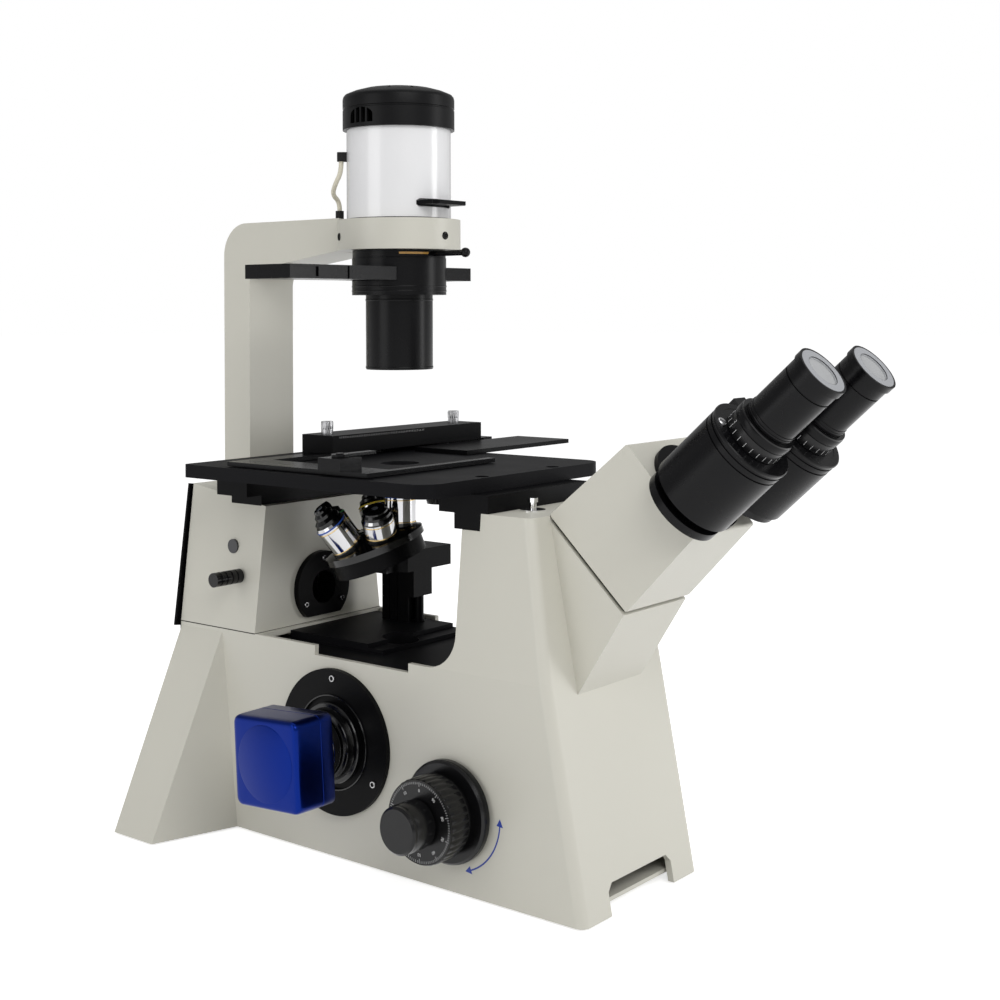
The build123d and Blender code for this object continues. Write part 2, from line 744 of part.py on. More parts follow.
def deck_plate():
    """Black deck with its stepped raised plate."""
    half = BODY_HALF - BODY_WALL
    deck = block((-half, half), (DECK_FRONT_Y, DECK_REAR_Y), (DECK_Z - DECK_THICK, DECK_Z))
    sides = (DECK_RAISED_LEFT, BODY_HALF - DECK_RAISED_GAP)
    deck += block(sides, (DECK_RIDGE_Y, DECK_REAR_Y), (DECK_Z, DECK_RIDGE_Z))
    deck += block(sides, (DECK_RAISED_Y, DECK_REAR_Y), (DECK_RIDGE_Z, DECK_RAISED_Z))
    deck -= rod((0, 0, DECK_Z - DECK_THICK - OVERRUN), UP, DECK_LIGHT_RADIUS, DECK_THICK + 4 * OVERRUN)
    rod_x, rod_y = push_rod_place()
    return deck - rod((rod_x, rod_y, DECK_Z - DECK_THICK - OVERRUN), UP, PUSH_ROD_HOLE,
                      DECK_THICK + 4 * OVERRUN)


# Rear housing
def housing_block(inset, floor_z, rear_y):
    """Tapered block with a top that rises to the rear, drawn in by a wall."""
    peak = housing_top(rear_y)
    low = side_half(floor_z) - inset
    top = side_half(peak) - inset
    front = HOUSING_FRONT_Y + inset
    ends = face([(-low, floor_z), (-top, peak), (top, peak), (low, floor_z)])
    side = face([(front, floor_z), (front, housing_top(front) - inset), (rear_y, peak - inset), (rear_y, floor_z)])
    return along_y(ends, front, rear_y) & along_x(side, BODY_HALF)


def rear_housing():
    """Tapered housing behind the stage, open at the back."""
    shell = housing_block(0, SIDE_TOP_Z, BODY_REAR_Y)
    shell -= housing_block(HOUSING_WALL, SIDE_TOP_Z + HOUSING_WALL, BODY_REAR_Y + OVERRUN)
    shell -= bore((0, HOUSING_FRONT_Y, EPI_Z), BACK, EPI_TUBE_RADIUS, HOUSING_WALL)
    shell -= bore((-side_half(PLUG_Z), PLUG_Y, PLUG_Z), RIGHT, PLUG_RADIUS, HOUSING_WALL)
    return shell - bore((-side_half(SLIDER_Z), SLIDER_Y, SLIDER_Z), RIGHT, SLIDER_ROD_RADIUS + RUNNING,
                        HOUSING_WALL)


def rear_cover():
    """Flat black cover over the whole back."""
    low = BODY_HALF - COVER_INSET
    top_z = housing_top(BODY_REAR_Y) - COVER_INSET
    top = side_half(top_z) - COVER_INSET
    outline = face([(-low, COVER_FOOT_Z), (-low, SIDE_TOP_Z), (-top, top_z), (top, top_z),
                    (low, SIDE_TOP_Z), (low, COVER_FOOT_Z)])
    return along_y(outline, BODY_REAR_Y, BODY_REAR_Y + COVER_THICK)


def epi_flange():
    """Black light outlet on the housing front, with a flat along its foot."""
    flange = rod((0, HOUSING_FRONT_Y, EPI_Z), FRONT, EPI_RADIUS, EPI_THICK)
    flange += rod((0, HOUSING_FRONT_Y, EPI_Z), BACK, EPI_TUBE_RADIUS, EPI_TUBE_LENGTH)
    flange -= bore((0, HOUSING_FRONT_Y - EPI_THICK, EPI_Z), BACK, EPI_BORE,
                   EPI_THICK + EPI_TUBE_LENGTH)
    return flange - block((-EPI_RADIUS, EPI_RADIUS), (HOUSING_FRONT_Y - EPI_THICK - OVERRUN, HOUSING_FRONT_Y),
                          (EPI_Z - EPI_RADIUS - OVERRUN, EPI_FLAT_Z))


def epi_rear_tube():
    """Lens tube between the filter slider and the back cover."""
    length = BODY_REAR_Y - EPI_REAR_TUBE_Y
    tube = rod((0, EPI_REAR_TUBE_Y, EPI_Z), BACK, EPI_TUBE_RADIUS, length)
    return tube - bore((0, EPI_REAR_TUBE_Y, EPI_Z), BACK, EPI_BORE, length - OVERRUN)


def epi_screws():
    """Three screw heads on the light outlet."""
    heads = []
    for turn in (90, 210, 330):
        x = EPI_SCREW_CIRCLE * cos(radians(turn))
        z = EPI_Z + EPI_SCREW_CIRCLE * sin(radians(turn))
        heads.append(rod((x, HOUSING_FRONT_Y - EPI_THICK, z), FRONT, SCREW_RADIUS, SCREW_HEAD))
    return heads


def hole_plug():
    """Plug in the unused hole of the housing side."""
    start = -side_half(PLUG_Z) - PLUG_PROUD
    return rod((start, PLUG_Y, PLUG_Z), RIGHT, PLUG_RADIUS, PLUG_PROUD + 2 * HOUSING_WALL)


def filter_slider():
    """Pull knob, rod and filter plate that crosses the rear light path."""
    knob_x = -side_half(SLIDER_Z) - SLIDER_KNOB_GAP
    knob = rod((knob_x, SLIDER_Y, SLIDER_Z), LEFT, SLIDER_KNOB_RADIUS, SLIDER_KNOB_LENGTH)
    pitch = SLIDER_KNOB_LENGTH / (SLIDER_GROOVES + 1)
    for index in range(SLIDER_GROOVES):
        start = (knob_x - (index + 1) * pitch, SLIDER_Y, SLIDER_Z)
        groove = rod(start, LEFT, SLIDER_KNOB_RADIUS + OVERRUN, SLIDER_GROOVE)
        knob -= groove - bore(start, LEFT, SLIDER_KNOB_RADIUS - SLIDER_GROOVE, SLIDER_GROOVE)
    knob += rod((knob_x, SLIDER_Y, SLIDER_Z), RIGHT, SLIDER_ROD_RADIUS, SLIDER_PLATE_HALF - knob_x)
    plate = block((-SLIDER_PLATE_HALF, SLIDER_PLATE_HALF),
                  (SLIDER_Y - SLIDER_PLATE_THICK / 2, SLIDER_Y + SLIDER_PLATE_THICK / 2),
                  (SLIDER_PLATE_FOOT_Z, SLIDER_Z))
    plate -= bore((0, SLIDER_Y - SLIDER_PLATE_THICK / 2, EPI_Z), BACK, EPI_BORE, SLIDER_PLATE_THICK)
    return knob + plate


# Prism head and binocular
def head_flange():
    """Black dovetail flange in the seam between tower and head."""
    points = [seam_point(SEAM_FLANGE_INSET, 0), seam_point(SEAM_FLANGE_INSET, SEAM_FLANGE),
              seam_point(SEAM_LENGTH - SEAM_FLANGE_INSET, SEAM_FLANGE),
              seam_point(SEAM_LENGTH - SEAM_FLANGE_INSET, 0)]
    plate = along_x(face(points), HEAD_HALF - SEAM_FLANGE_INSET)
    return plate - bore(relay_point(1), relay_direction(), RELAY_BORE, SEAM_FLANGE)


def prism_head():
    """Hollow box of the binocular head."""
    outline = face(head_corners())
    head = along_x(outline, HEAD_HALF)
    long_edges = head.edges().filter_by(Axis.X)
    head = fillet(long_edges, HEAD_EDGE)
    head -= along_x(offset(outline, amount=-HEAD_WALL), HEAD_HALF - HEAD_WALL)
    head -= bore(relay_point(1), relay_direction(), RELAY_BORE, SEAM_FLANGE + HEAD_WALL)
    window = Cylinder(RELAY_BORE, 2 * (HEAD_WALL + OVERRUN))
    return head - eye_plane().location * window


def head_prism():
    """Glass prism that turns the light to the hinge axis, seated on the seam wall."""
    start_y, start_z = seam_point(SEAM_LENGTH / 2, SEAM_FLANGE + HEAD_WALL)
    slope = radians(SEAM_ANGLE)
    plane = Plane(origin=(0, start_y, start_z), x_dir=RIGHT, z_dir=(0, -sin(slope), cos(slope)))
    return plane * Box(HEAD_PRISM, HEAD_PRISM, HEAD_PRISM, align=SEATED)


def hinge_hub():
    """Black hub disc on the head with the hinge shaft of the eyepiece tubes."""
    hub = rod((0, 0, 0), UP, HUB_RADIUS, HUB_THICK)
    hub += rod((0, 0, HUB_THICK), UP, HUB_SHAFT_RADIUS, HUB_SHAFT_END - HUB_THICK)
    return eye_plane().location * hub


def hinge_clamp():
    """Small clamp block on the end of the hinge shaft."""
    low = HUB_SHAFT_END - CLAMP_LENGTH
    clamp = block((-CLAMP_WIDTH / 2, CLAMP_WIDTH / 2), (0, CLAMP_RISE), (low, HUB_SHAFT_END))
    clamp -= rod((0, 0, low - OVERRUN), UP, HUB_SHAFT_RADIUS, CLAMP_LENGTH + 2 * OVERRUN)
    return eye_plane().location * clamp


def swing_plate(side, start):
    """Plate that carries one eyepiece tube round the hinge shaft."""
    outline = make_hull((Circle(SWING_HUB_RADIUS) + Pos(*tube_place(side)) * Circle(SWING_END_RADIUS)).edges())
    plate = extrude(Pos(0, 0, start) * outline, amount=SWING_THICK)
    return plate - rod((0, 0, start - OVERRUN), UP, HUB_SHAFT_RADIUS + RUNNING, SWING_THICK + 2 * OVERRUN)


def swing_start(side):
    """Height of one swing plate above the head: the left one lies under the right one."""
    lower = HUB_THICK + SLIDING
    return lower if side < 0 else lower + SWING_THICK + SLIDING


def eyepiece_tube(side):
    """Swing plate, barrel and its lip on one side."""
    x, y = tube_place(side)
    start = swing_start(side)
    barrel_start = swing_start(1) + SWING_THICK + (SLIDING if side < 0 else 0)
    arm = swing_plate(side, start)
    arm += rod((x, y, start), UP, SWING_NECK_RADIUS, barrel_start - start)
    arm += rod((x, y, barrel_start), UP, BARREL_RADIUS, BARREL_END - barrel_start)
    for index in (1, 2):
        low = BARREL_END - index * BARREL_GROOVE_PITCH
        groove = rod((x, y, low), UP, BARREL_RADIUS + OVERRUN, BARREL_GROOVE_WIDTH)
        arm -= groove - rod((x, y, low), UP, BARREL_RADIUS - BARREL_GROOVE, BARREL_GROOVE_WIDTH)
    arm -= rod((x, y, start - OVERRUN), UP, BARREL_BORE, BARREL_END + 2 * OVERRUN)
    arm -= rod((x, y, BARREL_END - SLEEVE_RADIUS), UP, SLEEVE_RADIUS, SLEEVE_RADIUS + OVERRUN)
    return eye_plane().location * arm


def diopter_ring(side):
    """Graduated focusing ring of one eyepiece."""
    x, y = tube_place(side)
    low = BARREL_END + SLIDING
    ring = rod((x, y, low), UP, DIOPTER_RADIUS, DIOPTER_LENGTH)
    ring -= rod((x, y, low - OVERRUN), UP, SLEEVE_RADIUS + RUNNING, DIOPTER_LENGTH + 2 * OVERRUN)
    return eye_plane().location * ring


def eyepiece(side):
    """Eyepiece body with the sleeve that sits in the barrel."""
    x, y = tube_place(side)
    body_low = BARREL_END + 2 * SLIDING + DIOPTER_LENGTH
    low = BARREL_END - SLEEVE_RADIUS
    body = rod((x, y, low), UP, SLEEVE_RADIUS, body_low - low)
    ring_low = EYEPIECE_END - EYE_RING_LENGTH
    body += rod((x, y, body_low), UP, EYEPIECE_RADIUS, ring_low - body_low)
    body += rod((x, y, ring_low), UP, EYE_RING_RADIUS, EYE_RING_LENGTH)
    groove_low = EYEPIECE_END - EYEPIECE_GROOVE_FROM_END
    groove = rod((x, y, groove_low), UP, EYEPIECE_RADIUS + OVERRUN, BARREL_GROOVE_WIDTH)
    body -= groove - rod((x, y, groove_low), UP, EYEPIECE_RADIUS - BARREL_GROOVE, BARREL_GROOVE_WIDTH)
    body -= rod((x, y, low - OVERRUN), UP, EYE_BORE, EYEPIECE_END)
    return Compound(children=[eye_plane().location * body, *eye_lenses(side)])


def eye_lenses(side):
    """Eye lens and field lens of one eyepiece."""
    x, y = tube_place(side)
    lenses = [rod((x, y, EYEPIECE_END - EYE_RING_LENGTH), UP, EYE_BORE, EYE_LENS_THICK),
              rod((x, y, BARREL_END), UP, EYE_BORE, FIELD_LENS_THICK)]
    return [eye_plane().location * lens for lens in lenses]


# Light path in the base
def beam_splitter():
    """Prism cube that sends light to the side port."""
    half = SPLITTER_SIZE / 2
    return block((-half, half), (-half, half), (SPLITTER_Z - half, SPLITTER_Z + half))


def splitter_mount():
    """Bridge on the base plate that holds the prism cube clear of the mirror."""
    half = SPLITTER_SIZE / 2
    foot_z = PLATE_Z + PLATE_THICK
    seat_z = SPLITTER_Z - half
    reach = MIRROR_LENGTH / 2 + SPLITTER_POST
    mount = block((-reach, reach), (-half, half), (seat_z - SPLITTER_POST, seat_z))
    for side in (-1, 1):
        span = sorted((side * reach, side * (reach - SPLITTER_POST)))
        mount += block(span, (-half, half), (foot_z, seat_z))
    return mount - rod((0, 0, seat_z - SPLITTER_POST - OVERRUN), UP, RELAY_BORE - SLIDING,
                       SPLITTER_POST + OVERRUN)


def lower_mirror():
    """Mirror that turns the downward light up and forward."""
    tilt = atan2(relay_direction()[2], -relay_direction()[1])
    lean = (radians(90) - tilt) / 2
    plane = Plane(origin=(0, 0, MIRROR_Z), x_dir=RIGHT, z_dir=(0, -sin(lean), cos(lean)))
    return plane * Pos(0, 0, -MIRROR_THICK / 2) * Box(2 * MIRROR_HALF, MIRROR_LENGTH, MIRROR_THICK)


def mirror_mount():
    """Wedge block under the mirror."""
    tilt = atan2(relay_direction()[2], -relay_direction()[1])
    lean = (radians(90) - tilt) / 2
    half = MIRROR_LENGTH / 2 * cos(lean)
    rise = MIRROR_LENGTH / 2 * sin(lean)
    drop = MIRROR_THICK / cos(lean)
    foot_z = PLATE_Z + PLATE_THICK
    shift = MIRROR_THICK * sin(lean)
    wedge = face([(-half + shift, foot_z), (-half + shift, MIRROR_Z - rise - drop + shift * tan(lean)),
                  (half, MIRROR_Z + rise - drop), (half, foot_z)])
    return along_x(wedge, MIRROR_HALF)


def tube_lens_cell():
    """Ring and post that hold the relay lens on the slanted path."""
    centre = relay_point(TUBE_LENS_SHARE)
    axis = Vector(*relay_direction()).normalized()
    start = Vector(*centre) - axis * (TUBE_LENS_CELL / 2)
    foot_z = PLATE_Z + PLATE_THICK
    cell = rod(start, axis, TUBE_LENS_RADIUS, TUBE_LENS_CELL)
    drop = (RELAY_BORE + TUBE_LENS_RADIUS) / 2 * sin(atan2(axis.Z, -axis.Y))
    post_y = centre[1] - drop
    cell += block((-TUBE_POST_HALF, TUBE_POST_HALF),
                  (post_y - TUBE_POST_HALF / 2, post_y + TUBE_POST_HALF / 2), (foot_z, centre[2] - drop))
    return cell - bore(start, axis, RELAY_BORE, TUBE_LENS_CELL)


def tube_lens():
    """Relay lens in its cell."""
    axis = Vector(*relay_direction()).normalized()
    start = Vector(*relay_point(TUBE_LENS_SHARE)) - axis * (TUBE_LENS_GLASS / 2)
    return rod(start, axis, RELAY_BORE, TUBE_LENS_GLASS)


def path_dish():
    """Round dish on the tower top around the light-path rod."""
    dish = rod((PATH_ROD_X, PATH_ROD_Y, TOWER_TOP_Z), UP, PATH_DISH_RADIUS, PATH_DISH_THICK)
    return dish - bore((PATH_ROD_X, PATH_ROD_Y, TOWER_TOP_Z), UP, PATH_ROD_RADIUS + RUNNING,
                       PATH_DISH_THICK)


def light_path_rod():
    """Chrome push-pull rod with a shutter blade inside the tower."""
    stem = rod((PATH_ROD_X, PATH_ROD_Y, PATH_ROD_FOOT_Z), UP, PATH_ROD_RADIUS,
               PATH_ROD_TOP_Z - PATH_ROD_HEAD_LENGTH - PATH_ROD_FOOT_Z)
    stem += rod((PATH_ROD_X, PATH_ROD_Y, PATH_ROD_TOP_Z - PATH_ROD_HEAD_LENGTH), UP, PATH_ROD_HEAD,
                PATH_ROD_HEAD_LENGTH)
    half = PATH_BLADE_THICK / 2
    return stem + block((PATH_ROD_X - half, PATH_ROD_X + 2 * PATH_BLADE_HALF),
                        (PATH_ROD_Y - half, PATH_ROD_Y + half),
                        (PATH_ROD_FOOT_Z - 2 * PATH_BLADE_HALF, PATH_ROD_FOOT_Z))


# Side port and camera
def side_port():
    """Black round flange on the left side of the base."""
    flange = rod((-BODY_HALF, 0, SPLITTER_Z), LEFT, PORT_RADIUS, PORT_THICK)
    flange -= rod((-BODY_HALF - PORT_THICK + PORT_RECESS, 0, SPLITTER_Z), LEFT, PORT_RECESS_RADIUS,
                  OVERRUN)
    return flange - bore((-BODY_HALF, 0, SPLITTER_Z), LEFT, PORT_BORE, PORT_THICK)


def port_screws():
    """Ring of screw heads on the side port."""
    heads = []
    for index in range(PORT_SCREWS):
        turn = radians(90 + index * 360 / PORT_SCREWS)
        y = PORT_SCREW_CIRCLE * cos(turn)
        z = SPLITTER_Z + PORT_SCREW_CIRCLE * sin(turn)
        heads.append(rod((-BODY_HALF - PORT_THICK, y, z), LEFT, SCREW_RADIUS, SCREW_HEAD))
    return heads


ADAPTER_X = -BODY_HALF - PORT_THICK + PORT_RECESS
CAMERA_X = ADAPTER_X - ADAPTER_LENGTH


def camera_adapter():
    """Screwed tube between the side port and the camera."""
    plain = (ADAPTER_LENGTH - ADAPTER_WAIST) / 2
    adapter = stack((ADAPTER_X, 0, SPLITTER_Z), LEFT,
                    [(ADAPTER_RADIUS, plain), (ADAPTER_WAIST_RADIUS, ADAPTER_WAIST), (ADAPTER_RADIUS, plain)])
    return adapter - bore((ADAPTER_X, 0, SPLITTER_Z), LEFT, PORT_BORE, ADAPTER_LENGTH)


def camera_body():
    """Square camera with a seam behind its back plate and a dished back."""
    block_half = CAMERA_SIZE / 2
    camera = Box(CAMERA_LENGTH, CAMERA_SIZE, CAMERA_SIZE)
    camera = fillet(camera.edges().filter_by(Axis.X), CAMERA_CORNER)
    seam_x = -CAMERA_LENGTH / 2 + CAMERA_SEAM_FROM_FACE
    inner = block_half - CAMERA_SEAM
    frame = Pos(seam_x, 0, 0) * Box(CAMERA_SEAM, CAMERA_SIZE, CAMERA_SIZE)
    frame -= Pos(seam_x, 0, 0) * Box(CAMERA_SEAM, 2 * inner, 2 * inner)
    camera -= frame
    camera -= rod((-CAMERA_LENGTH / 2 + CAMERA_DISH, 0, 0), LEFT, CAMERA_DISH_RADIUS, OVERRUN)
    camera = Rot(CAMERA_ROLL, 0, 0) * camera
    return Pos(CAMERA_X - CAMERA_LENGTH / 2, CAMERA_Y, CAMERA_Z) * camera


# Focus drive
def focus_bushing(side):
    """Brass bearing of the focus shafts in one side wall."""
    length = TENSION_X + TENSION_THICK - BUSHING_INNER
    start = (side * BUSHING_INNER, FOCUS_Y, FOCUS_Z)
    bushing = rod(start, (side, 0, 0), BUSHING_RADIUS, length)
    return bushing - bore(start, (side, 0, 0), COARSE_SHAFT_RADIUS + RUNNING, length)


def tension_ring():
    """Wide ring next to the body that sets the stiffness of the coarse drive."""
    start = (-TENSION_X, FOCUS_Y, FOCUS_Z)
    ring = rod(start, LEFT, TENSION_RADIUS, TENSION_THICK)
    ring = chamfer(ring.edges().filter_by(GeomType.CIRCLE), KNOB_EDGE)
    return ring - bore(start, LEFT, BUSHING_RADIUS + RUNNING, TENSION_THICK)


def coarse_start():
    """Distance of the coarse knobs from the middle plane."""
    return TENSION_X + TENSION_THICK + SLIDING


def coarse_drive():
    """Both coarse knobs on their hollow shaft, with the focus pinion."""
    reach = coarse_start() + COARSE_THICK
    drive = rod((-reach, FOCUS_Y, FOCUS_Z), RIGHT, COARSE_SHAFT_RADIUS, 2 * reach)
    for side in (-1, 1):
        start = (side * coarse_start(), FOCUS_Y, FOCUS_Z)
        drive += stack(start, (side, 0, 0),
                       [(COARSE_DIAL_RADIUS, COARSE_DIAL), (COARSE_RADIUS, COARSE_THICK - COARSE_DIAL)])
    drive += pinion((FOCUS_PINION_X, FOCUS_Y, FOCUS_Z), RIGHT, FRONT, FOCUS_PINION_WIDTH, FINE_SHAFT_RADIUS)
    return drive - bore((-reach, FOCUS_Y, FOCUS_Z), RIGHT, FINE_SHAFT_RADIUS + RUNNING, 2 * reach)


def fine_drive():
    """Both fine knobs on their through shaft."""
    start_x = coarse_start() + COARSE_THICK + SLIDING
    reach = start_x + FINE_THICK
    drive = rod((-reach, FOCUS_Y, FOCUS_Z), RIGHT, FINE_SHAFT_RADIUS, 2 * reach)
    for side in (-1, 1):
        knob = rod((side * start_x, FOCUS_Y, FOCUS_Z), (side, 0, 0), FINE_RADIUS, FINE_THICK)
        drive += chamfer(knob.edges().filter_by(GeomType.CIRCLE), KNOB_EDGE)
    return drive


def push_rod_place():
    """(X, Y) of the rod that lifts the nosepiece carriage."""
    return (COLUMN_LEFT + COLUMN_RIGHT) / 2, COLUMN_FRONT_Y - SLIDING - CARRIAGE_THICK / 2


def focus_lift():
    """Toothed rack, link bar and push rod under the nosepiece carriage."""
    x, y = push_rod_place()
    rack_y = FOCUS_Y + RACK_FACE
    length = 2 * (FOCUS_Z - FOCUS_RACK_FOOT_Z)
    plane = Plane(origin=(x - FOCUS_LINK_WIDTH / 2, rack_y, FOCUS_Z), x_dir=UP, z_dir=RIGHT)
    lift = plane * extrude(rack_profile(length, RACK_THICK), amount=FOCUS_LINK_WIDTH)
    sides = (x - FOCUS_LINK_WIDTH / 2, x + FOCUS_LINK_WIDTH / 2)
    lift += block(sides, (rack_y, rack_y + RACK_THICK), (FOCUS_Z, FOCUS_LINK_Z))
    lift += block(sides, (rack_y, y + FOCUS_LINK_WIDTH / 2), (FOCUS_LINK_Z, FOCUS_LINK_Z + FOCUS_LINK_THICK))
    return lift + rod((x, y, FOCUS_LINK_Z), UP, PUSH_ROD_RADIUS, CARRIAGE_FOOT_Z - FOCUS_LINK_Z)


# Nosepiece
def focus_column():
    """Fixed guide column on the deck with a keyway for the carriage."""
    column = block((COLUMN_LEFT, COLUMN_RIGHT), (COLUMN_FRONT_Y, COLUMN_REAR_Y),
                   (DECK_RAISED_Z, COLUMN_TOP_Z))
    middle = (COLUMN_LEFT + COLUMN_RIGHT) / 2
    half = KEYWAY_WIDTH / 2
    column -= block((middle - half, middle + half), (COLUMN_FRONT_Y - OVERRUN, COLUMN_FRONT_Y + KEYWAY_DEPTH),
                    (DECK_RAISED_Z - OVERRUN, COLUMN_TOP_Z + OVERRUN))
    for share in (0.4, 0.7):
        y = COLUMN_FRONT_Y + share * (COLUMN_REAR_Y - COLUMN_FRONT_Y)
        column -= block((COLUMN_LEFT - OVERRUN, COLUMN_LEFT + COLUMN_STRIP), (y, y + COLUMN_STRIP),
                        (DECK_RAISED_Z - OVERRUN, COLUMN_TOP_Z + OVERRUN))
    return column


def nosepiece_carriage():
    """Keyed slide, arm and tilted hub that carry the turret."""
    rear_y = COLUMN_FRONT_Y - SLIDING
    front = rear_y - CARRIAGE_THICK
    carriage = block((COLUMN_LEFT - CARRIAGE_SIDE, COLUMN_RIGHT + CARRIAGE_SIDE), (front, rear_y),
                     (CARRIAGE_FOOT_Z, CARRIAGE_ARM_TOP_Z))
    middle = (COLUMN_LEFT + COLUMN_RIGHT) / 2
    half = KEYWAY_WIDTH / 2 - SLIDING
    carriage += block((middle - half, middle + half), (rear_y, COLUMN_FRONT_Y + KEYWAY_DEPTH - SLIDING),
                      (CARRIAGE_FOOT_Z, CARRIAGE_ARM_TOP_Z))
    carriage += block((CARRIAGE_ARM_LEFT, COLUMN_RIGHT + CARRIAGE_SIDE), (CARRIAGE_ARM_FRONT_Y, rear_y),
                      (CARRIAGE_ARM_FOOT_Z, CARRIAGE_ARM_TOP_Z))
    hub_top = -TURRET_RIM_FOOT - SLIDING
    hub = rod((0, 0, hub_top), DOWN, TURRET_HUB_RADIUS, TURRET_HUB_THICK)
    hub += rod((0, 0, hub_top), UP, TURRET_PIVOT_RADIUS, -hub_top)
    carriage += turret_plane().location * hub
    return carriage - rod((0, 0, CARRIAGE_FOOT_Z), UP, CARRIAGE_LIGHT_RADIUS, SEAT_Z - CARRIAGE_FOOT_Z
                          - TURRET_RIM_FOOT / 2)


def turret_disc():
    """Revolving nosepiece: cone, rim and five seats splayed round the tilted axis."""
    slope = tan(radians(TURRET_TILT))
    rim_top = -(TURRET_RADIUS - TURRET_SEAT_CIRCLE) * slope - TURRET_SEAT_RISE
    crown = (TURRET_SEAT_CIRCLE - TURRET_CROWN_RADIUS) * slope - TURRET_SEAT_RISE
    hole = TURRET_PIVOT_RADIUS + RUNNING
    profile = face([(hole, -TURRET_RIM_FOOT), (TURRET_RADIUS, -TURRET_RIM_FOOT), (TURRET_RADIUS, rim_top),
                    (TURRET_CROWN_RADIUS, crown), (hole, crown)])
    disc = revolve(Plane.XZ * profile, Axis.Z)
    home = turret_plane().location.inverse()
    for index in range(TURRET_SEATS):
        disc += home * seat_plane(index) * rod((0, 0, -TURRET_BOSS_DEPTH), UP, TURRET_BOSS_RADIUS,
                                               TURRET_BOSS_DEPTH)
    for index in range(TURRET_SEATS):
        disc -= home * seat_plane(index) * rod((0, 0, -TURRET_RIM_FOOT - 2 * OVERRUN), UP, TURRET_BORE,
                                               TURRET_RIM_FOOT + 3 * OVERRUN)
    return turret_plane().location * disc


def objectives():
    """Five stepped objectives, the working one first, bored for their lenses."""
    lengths = (WORKING_LENGTH, LOW_LENGTH, MEDIUM_LENGTH, HIGH_LENGTH, SCAN_LENGTH)
    bodies = []
    for index, (length, shares) in enumerate(zip(lengths, OBJECTIVE_STEP_SHARES)):
        steps = [(OBJECTIVE_RADIUS * wide, length * tall) for wide, tall in shares]
        body = stack((0, 0, 0), UP, steps)
        body -= rod((0, 0, -OVERRUN), UP, OBJECTIVE_BORE_FOOT, steps[0][1])
        body -= rod((0, 0, -OVERRUN), UP, OBJECTIVE_BORE, length + 2 * OVERRUN)
        bodies.append(seat_plane(index) * body)
    return Compound(children=bodies)


# Stage
def stage_plate():
    """Flat fixed stage with its recessed round opening and small holes."""
    outline = face([(-STAGE_HALF, STAGE_FRONT_Y), (STAGE_HALF, STAGE_FRONT_Y),
                    (STAGE_HALF, STAGE_REAR_Y), (-STAGE_HALF, STAGE_REAR_Y)])
    ends = [(side * STAGE_HALF, y, round_off) for side in (-1, 1)
            for y, round_off in ((STAGE_FRONT_Y, STAGE_CORNER), (STAGE_REAR_Y, STAGE_REAR_CORNER))]
    for x, y, round_off in ends:
        outline = fillet(corner(outline, (x, y)), round_off)
    outline -= Circle(STAGE_OPENING)
    for x_share, y_share in STAGE_SMALL_HOLE_SHARES:
        y = STAGE_REAR_Y * y_share if y_share > 0 else -STAGE_FRONT_Y * y_share
        outline -= Pos(x_share * STAGE_HALF, y) * Circle(STAGE_HOLE)
    for x_share, y_share in STAGE_LARGE_HOLE_SHARES:
        outline -= Pos(x_share * STAGE_HALF, -STAGE_FRONT_Y * y_share) * Circle(STAGE_BIG_HOLE)
    plate = extrude(Pos(0, 0, STAGE_TOP_Z - STAGE_THICK) * outline, amount=STAGE_THICK)
    return plate - rod((0, 0, STAGE_TOP_Z - INSERT_THICK), UP, STAGE_RECESS, INSERT_THICK + OVERRUN)


def stage_insert():
    """Removable disc in the stage opening."""
    disc = rod((0, 0, STAGE_TOP_Z - INSERT_THICK), UP, STAGE_RECESS - RUNNING, INSERT_THICK)
    return disc - bore((0, 0, STAGE_TOP_Z - INSERT_THICK), UP, INSERT_HOLE, INSERT_THICK)


def rear_stage_beam():
    """Stepped beam that carries the stage on the rear housing."""
    top = STAGE_TOP_Z - STAGE_THICK
    depth = (REAR_BEAM_FRONT_Y, REAR_BEAM_BACK_Y)
    step_z = HOUSING_TOP_Z + REAR_BEAM_STEP
    half = HOUSING_TOP_HALF
    beam = block((-half, half), depth, (HOUSING_TOP_Z, top))
    wide = half + REAR_BEAM_PROUD
    beam += block((-wide, wide), depth, (step_z, top))
    return beam - housing_block(0, SIDE_TOP_Z, BODY_REAR_Y)


def front_stage_beam():
    """Stepped beam that carries the stage on the tower shoulder and overhangs it."""
    top = STAGE_TOP_Z - STAGE_THICK
    half = TOWER_TOP_HALF
    step_z = SHOULDER_Z + FRONT_BEAM_STEP
    beam = block((-half, half), (SHOULDER_Y, TOWER_REAR_Y + FRONT_BEAM_OVERHANG), (SHOULDER_Z, top))
    beam += block((-half, half), (SHOULDER_Y, TOWER_REAR_Y + FRONT_BEAM_TOP_OVERHANG), (step_z, top))
    return beam + block((-half, half), (SHOULDER_Y - FRONT_BEAM_LIP, SHOULDER_Y), (TOWER_TOP_Z, top))


# Mechanical stage
RAIL_FACE_X = STAGE_HALF + RAIL_THICK
STAGE_KNOB_X = RAIL_FACE_X + RACK_FACE
CARRIER_RIGHT = RAIL_FACE_X + CARRIER_WIDTH
GUIDE_RIGHT = STAGE_HALF + GUIDE_REACH
SLIDE_RIGHT = STAGE_HALF + SLIDE_REACH
X_RACK_Y = STAGE_KNOB_Y + RACK_FACE
CARRIER_LEFT = RAIL_FACE_X + GEAR_MODULE * (1 + TOOTH_TIP_SHARE) + SLIDING
GUIDE_FOOT_Z = SLIDE_FOOT_Z + SLIDE_THICK + SLIDING
GUIDE_WEB_Y = X_RACK_Y + SLIDE_DEPTH + SLIDING


